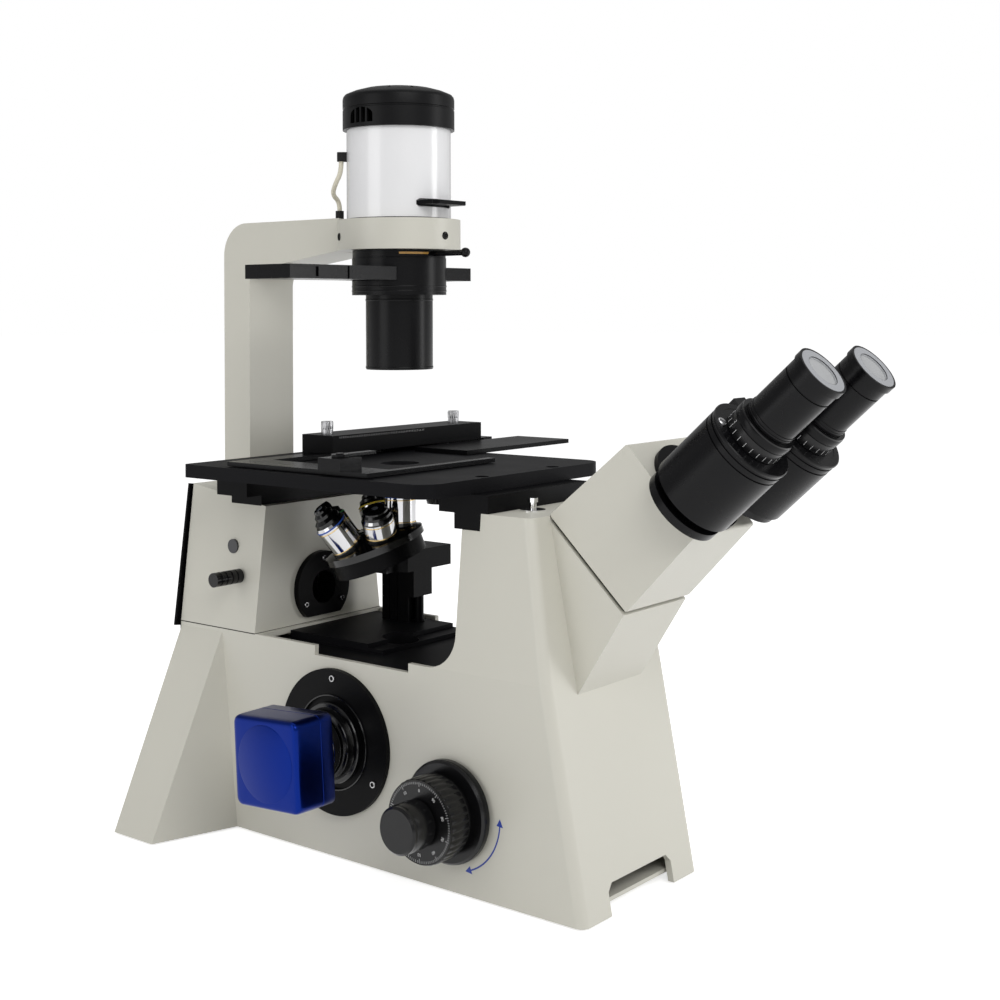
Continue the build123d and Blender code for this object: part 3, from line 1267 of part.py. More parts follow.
def stage_rail():
    """Fixed rail with a rack on the right edge of the stage."""
    plane = Plane(origin=(RAIL_FACE_X, STAGE_KNOB_Y, RAIL_FOOT_Z), x_dir=FRONT, z_dir=UP)
    return plane * extrude(rack_profile(RAIL_LENGTH, RAIL_THICK), amount=RAIL_HEIGHT)


def stage_carrier():
    """Y carriage: block on the rail, flat wing and the long guide bar over the stage."""
    low_top = SLIDE_FOOT_Z - SLIDING
    sides = (CARRIER_LEFT, CARRIER_RIGHT)
    carrier = block(sides, (CARRIER_FRONT_Y, GUIDE_REAR_Y), (CARRIER_FOOT_Z, low_top))
    carrier += block((STAGE_HALF + SLIDING, CARRIER_LEFT), (CARRIER_FRONT_Y, GUIDE_REAR_Y),
                     (CARRIER_FOOT_Z, RAIL_FOOT_Z - SLIDING))
    carrier += block(sides, (GUIDE_WEB_Y, GUIDE_REAR_Y), (CARRIER_FOOT_Z, GUIDE_TOP_Z))
    carrier += block((GUIDE_LEFT, GUIDE_RIGHT), (GUIDE_WEB_Y, GUIDE_REAR_Y), (SLIDE_FOOT_Z, GUIDE_TOP_Z))
    carrier += block((GUIDE_LEFT, GUIDE_RIGHT), (GUIDE_FRONT_Y, GUIDE_REAR_Y), (GUIDE_FOOT_Z, GUIDE_TOP_Z))
    carrier += block((STAGE_HALF - WING_INSET, STAGE_HALF + WING_REACH), (WING_FRONT_Y, WING_REAR_Y),
                     (low_top, SLIDE_FOOT_Z + SLIDE_THICK))
    carrier -= rod((STAGE_KNOB_X, STAGE_KNOB_Y, Y_PINION_Z - SLIDING), UP, PINION_POCKET,
                   low_top - Y_PINION_Z + SLIDING + RUNNING)
    return carrier - rod((STAGE_KNOB_X, STAGE_KNOB_Y, CARRIER_FOOT_Z - OVERRUN), UP,
                         Y_SHAFT_RADIUS + RUNNING, Y_PINION_Z - CARRIER_FOOT_Z + OVERRUN)


def thumb_screws():
    """Two chrome thumb screws on the guide bar."""
    places = (GUIDE_LEFT + THUMB_INSET, GUIDE_RIGHT - THUMB_INSET)
    screws = [rod((x, THUMB_Y, GUIDE_TOP_Z), UP, THUMB_RADIUS, THUMB_HEIGHT) for x in places]
    return Compound(children=screws)


def specimen_frame():
    """X slide with its rack and the thin frame that carries the specimen."""
    top_z = SLIDE_FOOT_Z + SLIDE_THICK
    rear = X_RACK_Y + SLIDE_DEPTH
    plane = Plane(origin=(STAGE_KNOB_X, X_RACK_Y, SLIDE_FOOT_Z), x_dir=LEFT, z_dir=UP)
    frame = plane * extrude(rack_profile(X_RACK_LENGTH, SLIDE_DEPTH), amount=SLIDE_THICK)
    heights = (SLIDE_FOOT_Z, top_z)
    frame += block((FRAME_LEFT, SLIDE_RIGHT), (X_RACK_Y, rear), heights)
    frame += block((FRAME_LEFT, FRAME_ARM_RIGHT), (FRAME_FRONT_Y, rear), heights)
    frame += block((FRAME_LEFT, FRAME_RIGHT), (FRAME_FRONT_Y, FRAME_FRONT_Y + FRAME_BAR_DEPTH), heights)
    frame += block((HOLDER_X - HOLDER_HALF, HOLDER_X + HOLDER_HALF),
                   (HOLDER_Y - HOLDER_HALF, HOLDER_Y + HOLDER_HALF), (top_z, holder_top()))
    return frame + rod((HOLDER_X, HOLDER_Y, holder_top()), UP, HOLDER_PIN_RADIUS,
                       FINGER_THICK + HOLDER_PIN_RISE)


def holder_top():
    """Height of the top of the specimen holder block."""
    return SLIDE_FOOT_Z + SLIDE_THICK + HOLDER_HEIGHT


def holder_finger():
    """Spring finger that presses the specimen into the frame."""
    low = holder_top() + SLIDING
    finger = rod((HOLDER_X, HOLDER_Y, low), UP, FINGER_HUB, FINGER_THICK)
    finger += block((HOLDER_X, HOLDER_X + FINGER_LENGTH),
                    (HOLDER_Y - FINGER_WIDTH / 2, HOLDER_Y + FINGER_WIDTH / 2), (low, low + FINGER_THICK))
    return finger - bore((HOLDER_X, HOLDER_Y, low), UP, HOLDER_PIN_RADIUS + RUNNING, FINGER_THICK)


def stage_y_drive():
    """Upper stage knob, hollow shaft and the pinion on the rail."""
    foot = Y_KNOB_TOP_Z - Y_KNOB_THICK
    drive = rod((STAGE_KNOB_X, STAGE_KNOB_Y, foot), UP, Y_SHAFT_RADIUS, Y_PINION_Z - foot)
    drive += rod((STAGE_KNOB_X, STAGE_KNOB_Y, foot), UP, Y_KNOB_RADIUS, Y_KNOB_THICK)
    drive += pinion((STAGE_KNOB_X, STAGE_KNOB_Y, Y_PINION_Z), UP, RIGHT, Y_PINION_WIDTH, X_SHAFT_RADIUS)
    return drive - bore((STAGE_KNOB_X, STAGE_KNOB_Y, foot), UP, X_SHAFT_RADIUS + RUNNING,
                        Y_PINION_Z + Y_PINION_WIDTH - foot)


def stage_x_drive():
    """Lower stage knob, inner shaft and the pinion on the X slide."""
    top = Y_KNOB_TOP_Z - Y_KNOB_THICK - SLIDING
    drive = rod((STAGE_KNOB_X, STAGE_KNOB_Y, top - X_KNOB_THICK), UP, X_KNOB_RADIUS, X_KNOB_THICK)
    drive += rod((STAGE_KNOB_X, STAGE_KNOB_Y, top), UP, X_SHAFT_RADIUS, SLIDE_FOOT_Z - top)
    return drive + pinion((STAGE_KNOB_X, STAGE_KNOB_Y, SLIDE_FOOT_Z), UP, FRONT, SLIDE_THICK, 0)


# Pillar, arm and lamp house
def pillar_arm():
    """Pillar, sloping arm and the ring over the condenser, in one casting."""
    slope = (ARM_NOSE_Z - ARM_ROOT_Z) / (PILLAR_FRONT_Y - ARM_NOSE_Y)
    nose_z = ARM_NOSE_Z + slope * ARM_NOSE_Y
    outline = face([(PILLAR_FRONT_Y, housing_top(PILLAR_FRONT_Y)), (PILLAR_FRONT_Y, ARM_ROOT_Z), (0, nose_z),
                    (0, ARM_TOP_Z), (PILLAR_REAR_Y, ARM_TOP_Z), (PILLAR_REAR_Y, housing_top(PILLAR_REAR_Y))])
    outline = fillet(corner(outline, (PILLAR_REAR_Y, ARM_TOP_Z)), ARM_ROUND)
    outline = fillet(corner(outline, (PILLAR_FRONT_Y, ARM_ROOT_Z)), ARM_INNER_ROUND)
    arm = along_x(outline, PILLAR_HALF)
    arm -= rod((0, 0, RING_FOOT_Z - OVERRUN), UP, RING_RADIUS, ARM_TOP_Z - RING_FOOT_Z + 2 * OVERRUN)
    arm += rod((0, 0, RING_FOOT_Z), UP, RING_RADIUS, RING_TOP_Z - RING_FOOT_Z)
    return arm - bore((0, 0, RING_FOOT_Z), UP, RING_BORE, RING_TOP_Z - RING_FOOT_Z)


def ring_screws():
    """Three set screws round the arm ring."""
    screws = []
    for turn in range(RING_SCREW_TURN, RING_SCREW_TURN + 360, 120):
        outward = (cos(radians(turn)), sin(radians(turn)), 0)
        start = (RING_RADIUS * outward[0], RING_RADIUS * outward[1], RING_SCREW_Z)
        flat = rod(start, outward, RING_SCREW_RADIUS, RING_SCREW_RADIUS)
        screws.append(flat + rod(start, [-part for part in outward], RING_SCREW_RADIUS, RING_SCREW_RADIUS)
                      - rod((0, 0, RING_FOOT_Z), UP, RING_RADIUS, RING_TOP_Z - RING_FOOT_Z))
    return screws


def lamp_house():
    """White lamp cylinder with its floor, lens shelf and filter slot."""
    inner = LAMP_RADIUS - LAMP_WALL
    floor_top = FILTER_Z - SLIDING
    shelf = FILTER_Z + FILTER_THICK + SLIDING
    house = rod((0, 0, RING_TOP_Z), UP, LAMP_RADIUS, LAMP_TOP_Z - RING_TOP_Z)
    house -= rod((0, 0, floor_top), UP, inner, shelf - floor_top)
    house -= rod((0, 0, shelf + LENS_SHELF), UP, inner, LAMP_TOP_Z - shelf)
    house -= rod((0, 0, RING_TOP_Z - OVERRUN), UP, FILTER_HOLE, LAMP_TOP_Z - RING_TOP_Z)
    half = FILTER_HALF + SLIDING
    house -= block((-half, half), (-LAMP_RADIUS - OVERRUN, 0), (floor_top, shelf))
    round_end = FILTER_THICK / 2 + FILTER_MOUTH
    back_y = -sqrt(inner ** 2 - half ** 2)
    mouth = Plane.XZ * (Pos(0, FILTER_Z + FILTER_THICK / 2) * SlotOverall(2 * half, 2 * round_end))
    return house - Pos(0, back_y, 0) * extrude(mouth, amount=LAMP_RADIUS)


def lamp_cap():
    """Black cap with a sloping crown, arched vents on both sides and a ring of top slots."""
    lip = LAMP_RADIUS - LAMP_WALL - CAP_WALL
    inner = CAP_RADIUS - CAP_WALL
    ceiling = CAP_TOP_Z - CAP_WALL
    floor = LAMP_TOP_Z + CAP_WALL
    crown = (CAP_CROWN_RADIUS, CAP_TOP_Z)
    shoulder = (CAP_SHOULDER_RADIUS, CAP_SHOULDER_Z)
    profile = face([(0, ceiling), (0, CAP_TOP_Z), crown, shoulder, (CAP_RADIUS, CAP_GROOVE_Z),
                    (CAP_RADIUS, LAMP_TOP_Z), (lip, LAMP_TOP_Z), (lip, floor), (inner, floor),
                    (CAP_SHOULDER_RADIUS - CAP_WALL, CAP_SHOULDER_Z - CAP_WALL), (CAP_CROWN_RADIUS - CAP_WALL, ceiling)])
    profile = fillet(corner(profile, crown), CAP_ROUND)
    profile = fillet(corner(profile, shoulder), CAP_ROUND)
    profile -= Pos(CAP_RADIUS, CAP_GROOVE_Z) * Rectangle(2 * CAP_GROOVE, CAP_GROOVE)
    cap = revolve(Plane.XZ * profile, Axis.Z)
    half = CAP_RADIUS * sin(radians(VENT_HALF_ANGLE))
    width = (2 * half - VENT_BARS * VENT_BAR) / (VENT_BARS + 1)
    for index in range(VENT_BARS + 1):
        side = -half + index * (width + VENT_BAR)
        middle_share = (side + width / 2) / half
        peak = VENT_FOOT_Z + (VENT_TOP_Z - VENT_FOOT_Z) * sqrt(1 - middle_share ** 2)
        slot = block((lip, CAP_RADIUS + OVERRUN), (side, side + width), (VENT_FOOT_Z, peak))
        slot += mirror(slot, Plane.YZ)
        cap -= Rot(0, 0, VENT_TURN) * slot
    top_slot = block((TOP_SLOT_RADIUS, TOP_SLOT_RADIUS + TOP_SLOT_LENGTH),
                     (-TOP_SLOT_WIDTH / 2, TOP_SLOT_WIDTH / 2),
                     (CAP_SHOULDER_Z - CAP_WALL, CAP_TOP_Z + OVERRUN))
    for index in range(TOP_SLOTS):
        cap -= Rot(0, 0, index * 360 / TOP_SLOTS) * top_slot
    return cap


def lamp_socket():
    """Ceramic socket on a bar across the top of the lamp house."""
    inner = LAMP_RADIUS - LAMP_WALL - SLIDING
    low = LAMP_TOP_Z - SOCKET_BAR_THICK
    bar = block((-inner, inner), (-SOCKET_BAR_HALF, SOCKET_BAR_HALF), (low, LAMP_TOP_Z))
    bar &= rod((0, 0, low), UP, inner, SOCKET_BAR_THICK)
    return bar + rod((0, 0, SOCKET_FOOT_Z), UP, SOCKET_RADIUS, low - SOCKET_FOOT_Z)


def lamp_optics():
    """Glass bulb, collector lens on its shelf and condenser lens on its lip."""
    bulb = rod((0, 0, SOCKET_FOOT_Z - BULB_LENGTH), UP, BULB_RADIUS, BULB_LENGTH)
    bulb = fillet(bulb.faces().sort_by(Axis.Z)[0].edges(), BULB_RADIUS / 2)
    shelf_top = FILTER_Z + FILTER_THICK + SLIDING + LENS_SHELF
    collector = rod((0, 0, shelf_top), UP, LENS_RADIUS, LENS_THICK)
    inner = CONDENSER_TUBE_RADIUS - CONDENSER_TUBE_WALL
    condenser = rod((0, 0, CONDENSER_TUBE_FOOT_Z + CONDENSER_LIP), UP, inner, CONDENSER_LENS_THICK)
    return Compound(children=[bulb, collector, condenser])


def filter_tray():
    """Pull-out tray with its round glass filter."""
    tray = block((-FILTER_HALF, FILTER_HALF), (FILTER_FRONT_Y, FILTER_BACK_Y), (FILTER_Z, FILTER_Z + FILTER_THICK))
    grip = (FILTER_HALF, FILTER_FRONT_Y)
    for side in (-1, 1):
        cut = Pos(side * grip[0], grip[1], FILTER_Z - OVERRUN) * Cylinder(FILTER_HANDLE, FILTER_THICK + 2 * OVERRUN,
                                                                         align=SEATED)
        tray -= cut
    tray -= rod((0, 0, FILTER_Z - OVERRUN), UP, FILTER_HOLE, FILTER_THICK + 2 * OVERRUN)
    return Compound(children=[tray, rod((0, 0, FILTER_Z), UP, FILTER_HOLE, FILTER_THICK)])


# Lamp lead
def lead_glands():
    """Upper gland on the lamp house and lower gland on the arm."""
    place = (UPPER_GLAND_X, UPPER_GLAND_Y, UPPER_GLAND_Z)
    upper = rod(place, UP, GLAND_RADIUS, UPPER_GLAND_HEIGHT)
    turn = degrees(atan2(UPPER_GLAND_Y, UPPER_GLAND_X))
    reach = hypot(UPPER_GLAND_X, UPPER_GLAND_Y)
    bridge = block((LAMP_RADIUS - LAMP_WALL, reach), (-GLAND_RADIUS, GLAND_RADIUS),
                   (UPPER_GLAND_Z, UPPER_GLAND_Z + UPPER_GLAND_HEIGHT))
    upper += Rot(0, 0, turn) * bridge
    upper -= rod((0, 0, RING_TOP_Z), UP, LAMP_RADIUS, LAMP_TOP_Z - RING_TOP_Z)
    lower = rod((LOWER_GLAND_X, LOWER_GLAND_Y, ARM_TOP_Z), UP, GLAND_RADIUS, LOWER_GLAND_HEIGHT)
    return Compound(children=[upper, lower])


def lead_points():
    """Route of the lead from the upper gland to the lower gland."""
    return ([(UPPER_GLAND_X, UPPER_GLAND_Y, UPPER_GLAND_Z)] + LEAD_ROUTE
            + [(LOWER_GLAND_X, LOWER_GLAND_Y, ARM_TOP_Z + LOWER_GLAND_HEIGHT)])


def lead_radii(points):
    """Bend radius at each inner point: as large as its two runs allow."""
    radii = []
    for before, here, after in zip(points, points[1:], points[2:]):
        arrive = Vector(*here) - Vector(*before)
        leave = Vector(*after) - Vector(*here)
        turn = radians(arrive.get_angle(leave))
        radii.append(LEAD_BEND_SHARE * min(arrive.length, leave.length) / tan(turn / 2))
    return radii


def lamp_lead():
    """Thin lead of straight runs and tangent arcs between the two glands."""
    points = lead_points()
    radii = lead_radii(points)
    path = FilletPolyline(*points, radius=radii)
    section = Plane(origin=path @ 0, z_dir=path % 0) * Circle(LEAD_RADIUS)
    lead = sweep(section, path=path)
    print("lead radii", [round(radius, 1) for radius in radii], "length", round(path.length, 1),
          "volume", round(lead.volume, 1), "against", round(pi * LEAD_RADIUS ** 2 * path.length, 1))
    return lead


# Condenser
def condenser_barrel():
    """Black barrel under the arm ring with the slot of the phase slider."""
    neck = RING_FOOT_Z - CONDENSER_TOP_Z
    barrel = stack((0, 0, CONDENSER_FOOT_Z), UP,
                   [(CONDENSER_RADIUS, CONDENSER_TOP_Z - CONDENSER_FOOT_Z), (CONDENSER_NECK_RADIUS, neck)])
    barrel -= bore((0, 0, CONDENSER_FOOT_Z), UP, CONDENSER_BORE, RING_FOOT_Z - CONDENSER_FOOT_Z)
    half = PHASE_HALF + SLIDING
    return barrel - block((-CONDENSER_RADIUS - OVERRUN, CONDENSER_RADIUS + OVERRUN), (-half, half),
                          (PHASE_FOOT_Z - SLIDING, PHASE_FOOT_Z + PHASE_THICK + SLIDING))


def condenser_tube():
    """Long lens tube of the condenser with a lip at its foot."""
    length = CONDENSER_FOOT_Z - CONDENSER_TUBE_FOOT_Z
    tube = rod((0, 0, CONDENSER_TUBE_FOOT_Z), UP, CONDENSER_TUBE_RADIUS, length)
    inner = CONDENSER_TUBE_RADIUS - CONDENSER_TUBE_WALL
    tube -= bore((0, 0, CONDENSER_TUBE_FOOT_Z), UP, inner - CONDENSER_LIP, length)
    return tube - rod((0, 0, CONDENSER_TUBE_FOOT_Z + CONDENSER_LIP), UP, inner, length)


def aperture_ring():
    """Aperture ring with its ball-ended lever."""
    low = CONDENSER_TOP_Z + SLIDING
    thick = RING_FOOT_Z - CONDENSER_TOP_Z - 2 * SLIDING
    ring = rod((0, 0, low), UP, APERTURE_RADIUS, thick)
    ring += rod((0, 0, low + thick / 2), FRONT, APERTURE_LEVER_RADIUS, -APERTURE_LEVER_END_Y)
    ring += Pos(0, APERTURE_LEVER_END_Y, low + thick / 2) * Sphere(APERTURE_BALL_RADIUS)
    return ring - bore((0, 0, low), UP, CONDENSER_NECK_RADIUS + RUNNING, thick)


def phase_slider():
    """Long slider with three glass discs, an end recess and a groove."""
    top_z = PHASE_FOOT_Z + PHASE_THICK
    slider = block((PHASE_LEFT, PHASE_RIGHT), (-PHASE_HALF, PHASE_HALF), (PHASE_FOOT_Z, top_z))
    slider -= block((PHASE_RECESS_LEFT, PHASE_RECESS_RIGHT), (-PHASE_HALF - OVERRUN, -PHASE_HALF + PHASE_RECESS),
                    (PHASE_FOOT_Z + PHASE_RECESS, top_z - PHASE_RECESS))
    for y in (-PHASE_HALF, PHASE_HALF):
        slider -= Pos(PHASE_GROOVE_X, y, PHASE_FOOT_Z + PHASE_THICK / 2) * Box(PHASE_GROOVE, PHASE_GROOVE,
                                                                              PHASE_THICK + OVERRUN)
    middle = PHASE_FOOT_Z + (PHASE_THICK - PHASE_GLASS) / 2
    discs = []
    for place in (-PHASE_HOLE_PITCH, 0, PHASE_HOLE_PITCH):
        slider -= rod((place, 0, PHASE_FOOT_Z - OVERRUN), UP, PHASE_HOLE, PHASE_THICK + 2 * OVERRUN)
        discs.append(rod((place, 0, middle), UP, PHASE_HOLE, PHASE_GLASS))
    return Compound(children=[slider, *discs])


def body_screws():
    """All small screws on the outside of the stand."""
    return Compound(children=[*epi_screws(), *port_screws(), *ring_screws()])


def optics_mounts():
    """The three metal mounts on the base plate."""
    return Compound(children=[splitter_mount(), mirror_mount(), tube_lens_cell()])


def optics_glass():
    """Prism cube, relay lens and head prism."""
    return Compound(children=[beam_splitter(), tube_lens(), head_prism()])


def epi_tube():
    """Front light outlet and rear lens tube of the upper illumination path."""
    return Compound(children=[epi_flange(), epi_rear_tube()])


def stage_posts():
    """Both beams under the stage."""
    return Compound(children=[rear_stage_beam(), front_stage_beam()])


def focus_bushings():
    """Brass bearings in both side walls."""
    return Compound(children=[focus_bushing(-1), focus_bushing(1)])


SIDES = {"left": -1, "right": 1}
BUILDERS = [
    base_casting, base_plate, rubber_feet, deck_plate, body_screws,
    rear_housing, rear_cover, epi_tube, hole_plug, filter_slider,
    head_flange, prism_head, hinge_hub, hinge_clamp,
    optics_mounts, optics_glass, lower_mirror, path_dish, light_path_rod,
    side_port, camera_adapter, camera_body,
    focus_bushings, coarse_drive, fine_drive, tension_ring, focus_lift,
    focus_column, nosepiece_carriage, turret_disc, objectives,
    stage_plate, stage_insert, stage_posts, stage_rail, stage_carrier, thumb_screws,
    specimen_frame, holder_finger, stage_y_drive, stage_x_drive,
    pillar_arm, lamp_house, lamp_cap, lamp_socket, lamp_optics, filter_tray,
    lead_glands, lamp_lead,
    condenser_barrel, condenser_tube, aperture_ring, phase_slider,
]
PAIRED_BUILDERS = [eyepiece_tube, diopter_ring, eyepiece]


def main():
    """Write one STEP file for each sub-part."""
    os.makedirs("parts", exist_ok=True)
    for build in BUILDERS:
        export_step(build(), f"parts/{build.__name__}.step")
    for build in PAIRED_BUILDERS:
        for name, side in SIDES.items():
            export_step(build(side), f"parts/{name}_{build.__name__}.step")


main()
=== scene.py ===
"""Dresses the inverted microscope: finishes, dials, knurls, rings, marks and the lamp lead."""
import json
from math import cos, pi, radians, sin

import bmesh
import bpy
from bpy.props import FloatProperty, FloatVectorProperty, IntProperty, PointerProperty
from mathutils import Matrix, Vector


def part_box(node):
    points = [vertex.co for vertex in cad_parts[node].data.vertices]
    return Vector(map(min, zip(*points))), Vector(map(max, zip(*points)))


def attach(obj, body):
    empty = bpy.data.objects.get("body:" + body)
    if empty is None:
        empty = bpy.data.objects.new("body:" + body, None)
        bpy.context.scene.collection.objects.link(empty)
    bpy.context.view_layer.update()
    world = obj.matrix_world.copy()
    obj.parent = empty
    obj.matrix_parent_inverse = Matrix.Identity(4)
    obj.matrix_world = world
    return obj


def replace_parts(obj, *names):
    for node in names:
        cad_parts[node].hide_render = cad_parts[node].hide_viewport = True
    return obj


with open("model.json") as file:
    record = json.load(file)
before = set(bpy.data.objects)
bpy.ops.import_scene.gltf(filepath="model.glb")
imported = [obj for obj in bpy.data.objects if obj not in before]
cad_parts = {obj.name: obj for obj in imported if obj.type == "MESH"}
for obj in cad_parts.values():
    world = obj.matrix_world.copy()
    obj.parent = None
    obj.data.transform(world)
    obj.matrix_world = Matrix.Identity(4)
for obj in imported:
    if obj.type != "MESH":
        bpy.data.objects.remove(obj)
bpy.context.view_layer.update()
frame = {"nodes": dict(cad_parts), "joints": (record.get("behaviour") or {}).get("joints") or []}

bl_info = {
    "name": "Inverted microscope finish",
    "version": (1, 0, 0),
    "blender": (4, 5, 0),
    "location": "3D View > Sidebar > Microscope",
    "description": "Finishes, dials and small fittings of an inverted microscope",
    "category": "Object",
}

MM = 0.001
JOINTS = {joint["name"]: joint for joint in frame["joints"]}
UP = Vector((0, 0, 1))
LEFT = Vector((-1, 0, 0))
RIGHT = Vector((1, 0, 0))
FRONT = Vector((0, -1, 0))
SIDES = {"left": -1, "right": 1}

# Places in the frame that several pieces share
FOCUS_CENTRE = Vector(JOINTS["coarse_turn"]["pos_m"])
TURRET_CENTRE = Vector(JOINTS["turret_turn"]["pos_m"])
TURRET_AXIS = Vector(JOINTS["turret_turn"]["axis"]).normalized()
TUBE_AXIS = Vector(JOINTS["left_tube_swing"]["axis"]).normalized()
PORT_HEIGHT = 0.086

# A turned profile stops at this radius beside its axis, and an edge is sharp beyond this angle
CORE = 0.0001
EDGE_ANGLE = radians(32)

# Bevel of a band as a share of its width, and half the thickness of a printed number
BAND_EDGE = 0.12
PRINT_HEIGHT = 0.00006

# Dip of one rib, point by point, for the points this near the widest radius
RIB_ZONE = 0.0002
RIB_SHAPE = (1.0, 0.75, 0.12, 0.0, 0.0, 0.0, 0.12, 0.75)

# Values of the coats, the floor and the camera
COAT_ROUGHNESS = 0.12
FLOOR_WHITE = (0.86, 0.86, 0.86, 1)
FLOOR_GLOW = 0.68
SENSOR_WIDTH = 36


# Sizes and colours that a user may change
class SceneSizes(bpy.types.PropertyGroup):
    """Camera, floor and lights"""
    camera_place: FloatVectorProperty(
        name="Camera place", description="Where the photograph was taken from",
        default=(-0.87963, -0.79750, 0.40118), subtype="TRANSLATION", unit="LENGTH")
    camera_heading: FloatProperty(
        name="Camera heading", description="Turn of the camera about the vertical",
        default=radians(-51.35), subtype="ANGLE", unit="ROTATION")
    camera_pitch: FloatProperty(
        name="Camera pitch", description="Tilt of the camera above the horizon",
        default=radians(-0.06), subtype="ANGLE", unit="ROTATION")
    camera_roll: FloatProperty(
        name="Camera roll", description="Roll of the camera about its view",
        default=radians(-0.22), subtype="ANGLE", unit="ROTATION")
    camera_lens: FloatProperty(
        name="Lens", description="Focal length on a 36 mm sensor", default=55.73, min=10)
    camera_shift: FloatVectorProperty(
        name="Shift", description="Sensor shift that frames the photograph",
        default=(0.0047, -0.1895), size=2)
    floor_size: FloatProperty(
        name="Floor size", description="Side of the pale floor", default=40, unit="LENGTH")
    key_power: FloatProperty(
        name="Key light", description="Power of the main soft light", default=22, min=0)
    fill_power: FloatProperty(
        name="Fill light", description="Power of the side fill light", default=10, min=0)
    top_power: FloatProperty(
        name="Top light", description="Power of the overhead light", default=9, min=0)
    world_level: FloatProperty(
        name="Room light", description="Level of the even room light", default=0.42, min=0)


class FinishSizes(bpy.types.PropertyGroup):
    """Colours of the paints, metals and prints"""
    paint_colour: FloatVectorProperty(
        name="Body paint", description="Warm light grey of the castings",
        default=(0.622, 0.609, 0.538), subtype="COLOR", min=0, max=1)
    lamp_colour: FloatVectorProperty(
        name="Lamp paint", description="Glossy white of the lamp house",
        default=(0.86, 0.86, 0.87), subtype="COLOR", min=0, max=1)
    black_colour: FloatVectorProperty(
        name="Anodised black", description="Satin black of the machined parts",
        default=(0.0025, 0.0025, 0.003), subtype="COLOR", min=0, max=1)
    stage_colour: FloatVectorProperty(
        name="Stage black", description="Matte black of the stage",
        default=(0.005, 0.005, 0.006), subtype="COLOR", min=0, max=1)
    camera_colour: FloatVectorProperty(
        name="Camera blue", description="Metallic blue of the side camera",
        default=(0.002, 0.016, 0.17), subtype="COLOR", min=0, max=1)
    arrow_colour: FloatVectorProperty(
        name="Arrow blue", description="Blue of the printed turning arrow",
        default=(0.02, 0.05, 0.33), subtype="COLOR", min=0, max=1)
    mark_colour: FloatVectorProperty(
        name="Mark white", description="White of the dial marks and numbers",
        default=(0.62, 0.62, 0.62), subtype="COLOR", min=0, max=1)
    grain: FloatProperty(
        name="Paint grain", description="Size of the orange peel in the paint", default=0.0011,
        unit="LENGTH")


class KnobSizes(bpy.types.PropertyGroup):
    """Grips and dials of the focus knobs"""
    coarse_radius: FloatProperty(name="Coarse radius", description="Radius of the coarse knob",
                                 default=0.028, unit="LENGTH")
    fine_radius: FloatProperty(name="Fine radius", description="Radius of the fine knob",
                               default=0.016, unit="LENGTH")
    tension_radius: FloatProperty(name="Tension radius", description="Radius of the tension ring",
                                  default=0.035, unit="LENGTH")
    rib_depth: FloatProperty(name="Rib depth", description="Depth of the rounded coarse ribs",
                             default=0.0009, unit="LENGTH")
    coarse_ribs: IntProperty(name="Coarse ribs", description="Ribs round a coarse knob", default=34)
    dial_ticks: IntProperty(name="Dial ticks", description="Graduations of the focus dial",
                            default=100)


# Node helpers
def shader(name, base, roughness, metallic=0.0, coat=0.0, specular=0.5):
    """New material whose shader has the given plain values. Returns it with its tools."""
    material = bpy.data.materials.new(name)
    material.use_nodes = True
    nodes = material.node_tree.nodes
    surface = nodes["Principled BSDF"]
    surface.inputs["Base Color"].default_value = (*base, 1)
    surface.inputs["Roughness"].default_value = roughness
    surface.inputs["Metallic"].default_value = metallic
    surface.inputs["Coat Weight"].default_value = coat
    surface.inputs["Coat Roughness"].default_value = COAT_ROUGHNESS
    surface.inputs["Specular IOR Level"].default_value = specular
    return material, nodes, material.node_tree.links, surface


def noise(nodes, links, scale, detail, stretch=(1, 1, 1)):
    """Noise in object space at a scale given in waves per metre."""
    place = nodes.new("ShaderNodeTexCoord")
    mapping = nodes.new("ShaderNodeMapping")
    mapping.inputs["Scale"].default_value = stretch
    links.new(place.outputs["Object"], mapping.inputs["Vector"])
    texture = nodes.new("ShaderNodeTexNoise")
    texture.inputs["Scale"].default_value = scale
    texture.inputs["Detail"].default_value = detail
    links.new(mapping.outputs["Vector"], texture.inputs["Vector"])
    return texture.outputs["Fac"]


def spread(nodes, links, source, low, high, target):
    """Maps a 0 to 1 value to a range and feeds it to a socket."""
    reach = nodes.new("ShaderNodeMapRange")
    reach.inputs["To Min"].default_value = low
    reach.inputs["To Max"].default_value = high
    links.new(source, reach.inputs["Value"])
    links.new(reach.outputs["Result"], target)


def bump(nodes, links, surface, source, strength, distance):
    """Feeds a height into the shader's normal."""
    node = nodes.new("ShaderNodeBump")
    node.inputs["Strength"].default_value = strength
    node.inputs["Distance"].default_value = distance
    links.new(source, node.inputs["Height"])
    links.new(node.outputs["Normal"], surface.inputs["Normal"])


def tinted(nodes, links, surface, base, source, amount):
    """Base colour that drifts a little lighter and darker with a noise."""
    mix = nodes.new("ShaderNodeMix")
    mix.data_type = "RGBA"
    mix.inputs["A"].default_value = (*[part * (1 - amount) for part in base], 1)
    mix.inputs["B"].default_value = (*[min(1, part * (1 + amount)) for part in base], 1)
    links.new(source, mix.inputs["Factor"])
    links.new(mix.outputs["Result"], surface.inputs["Base Color"])


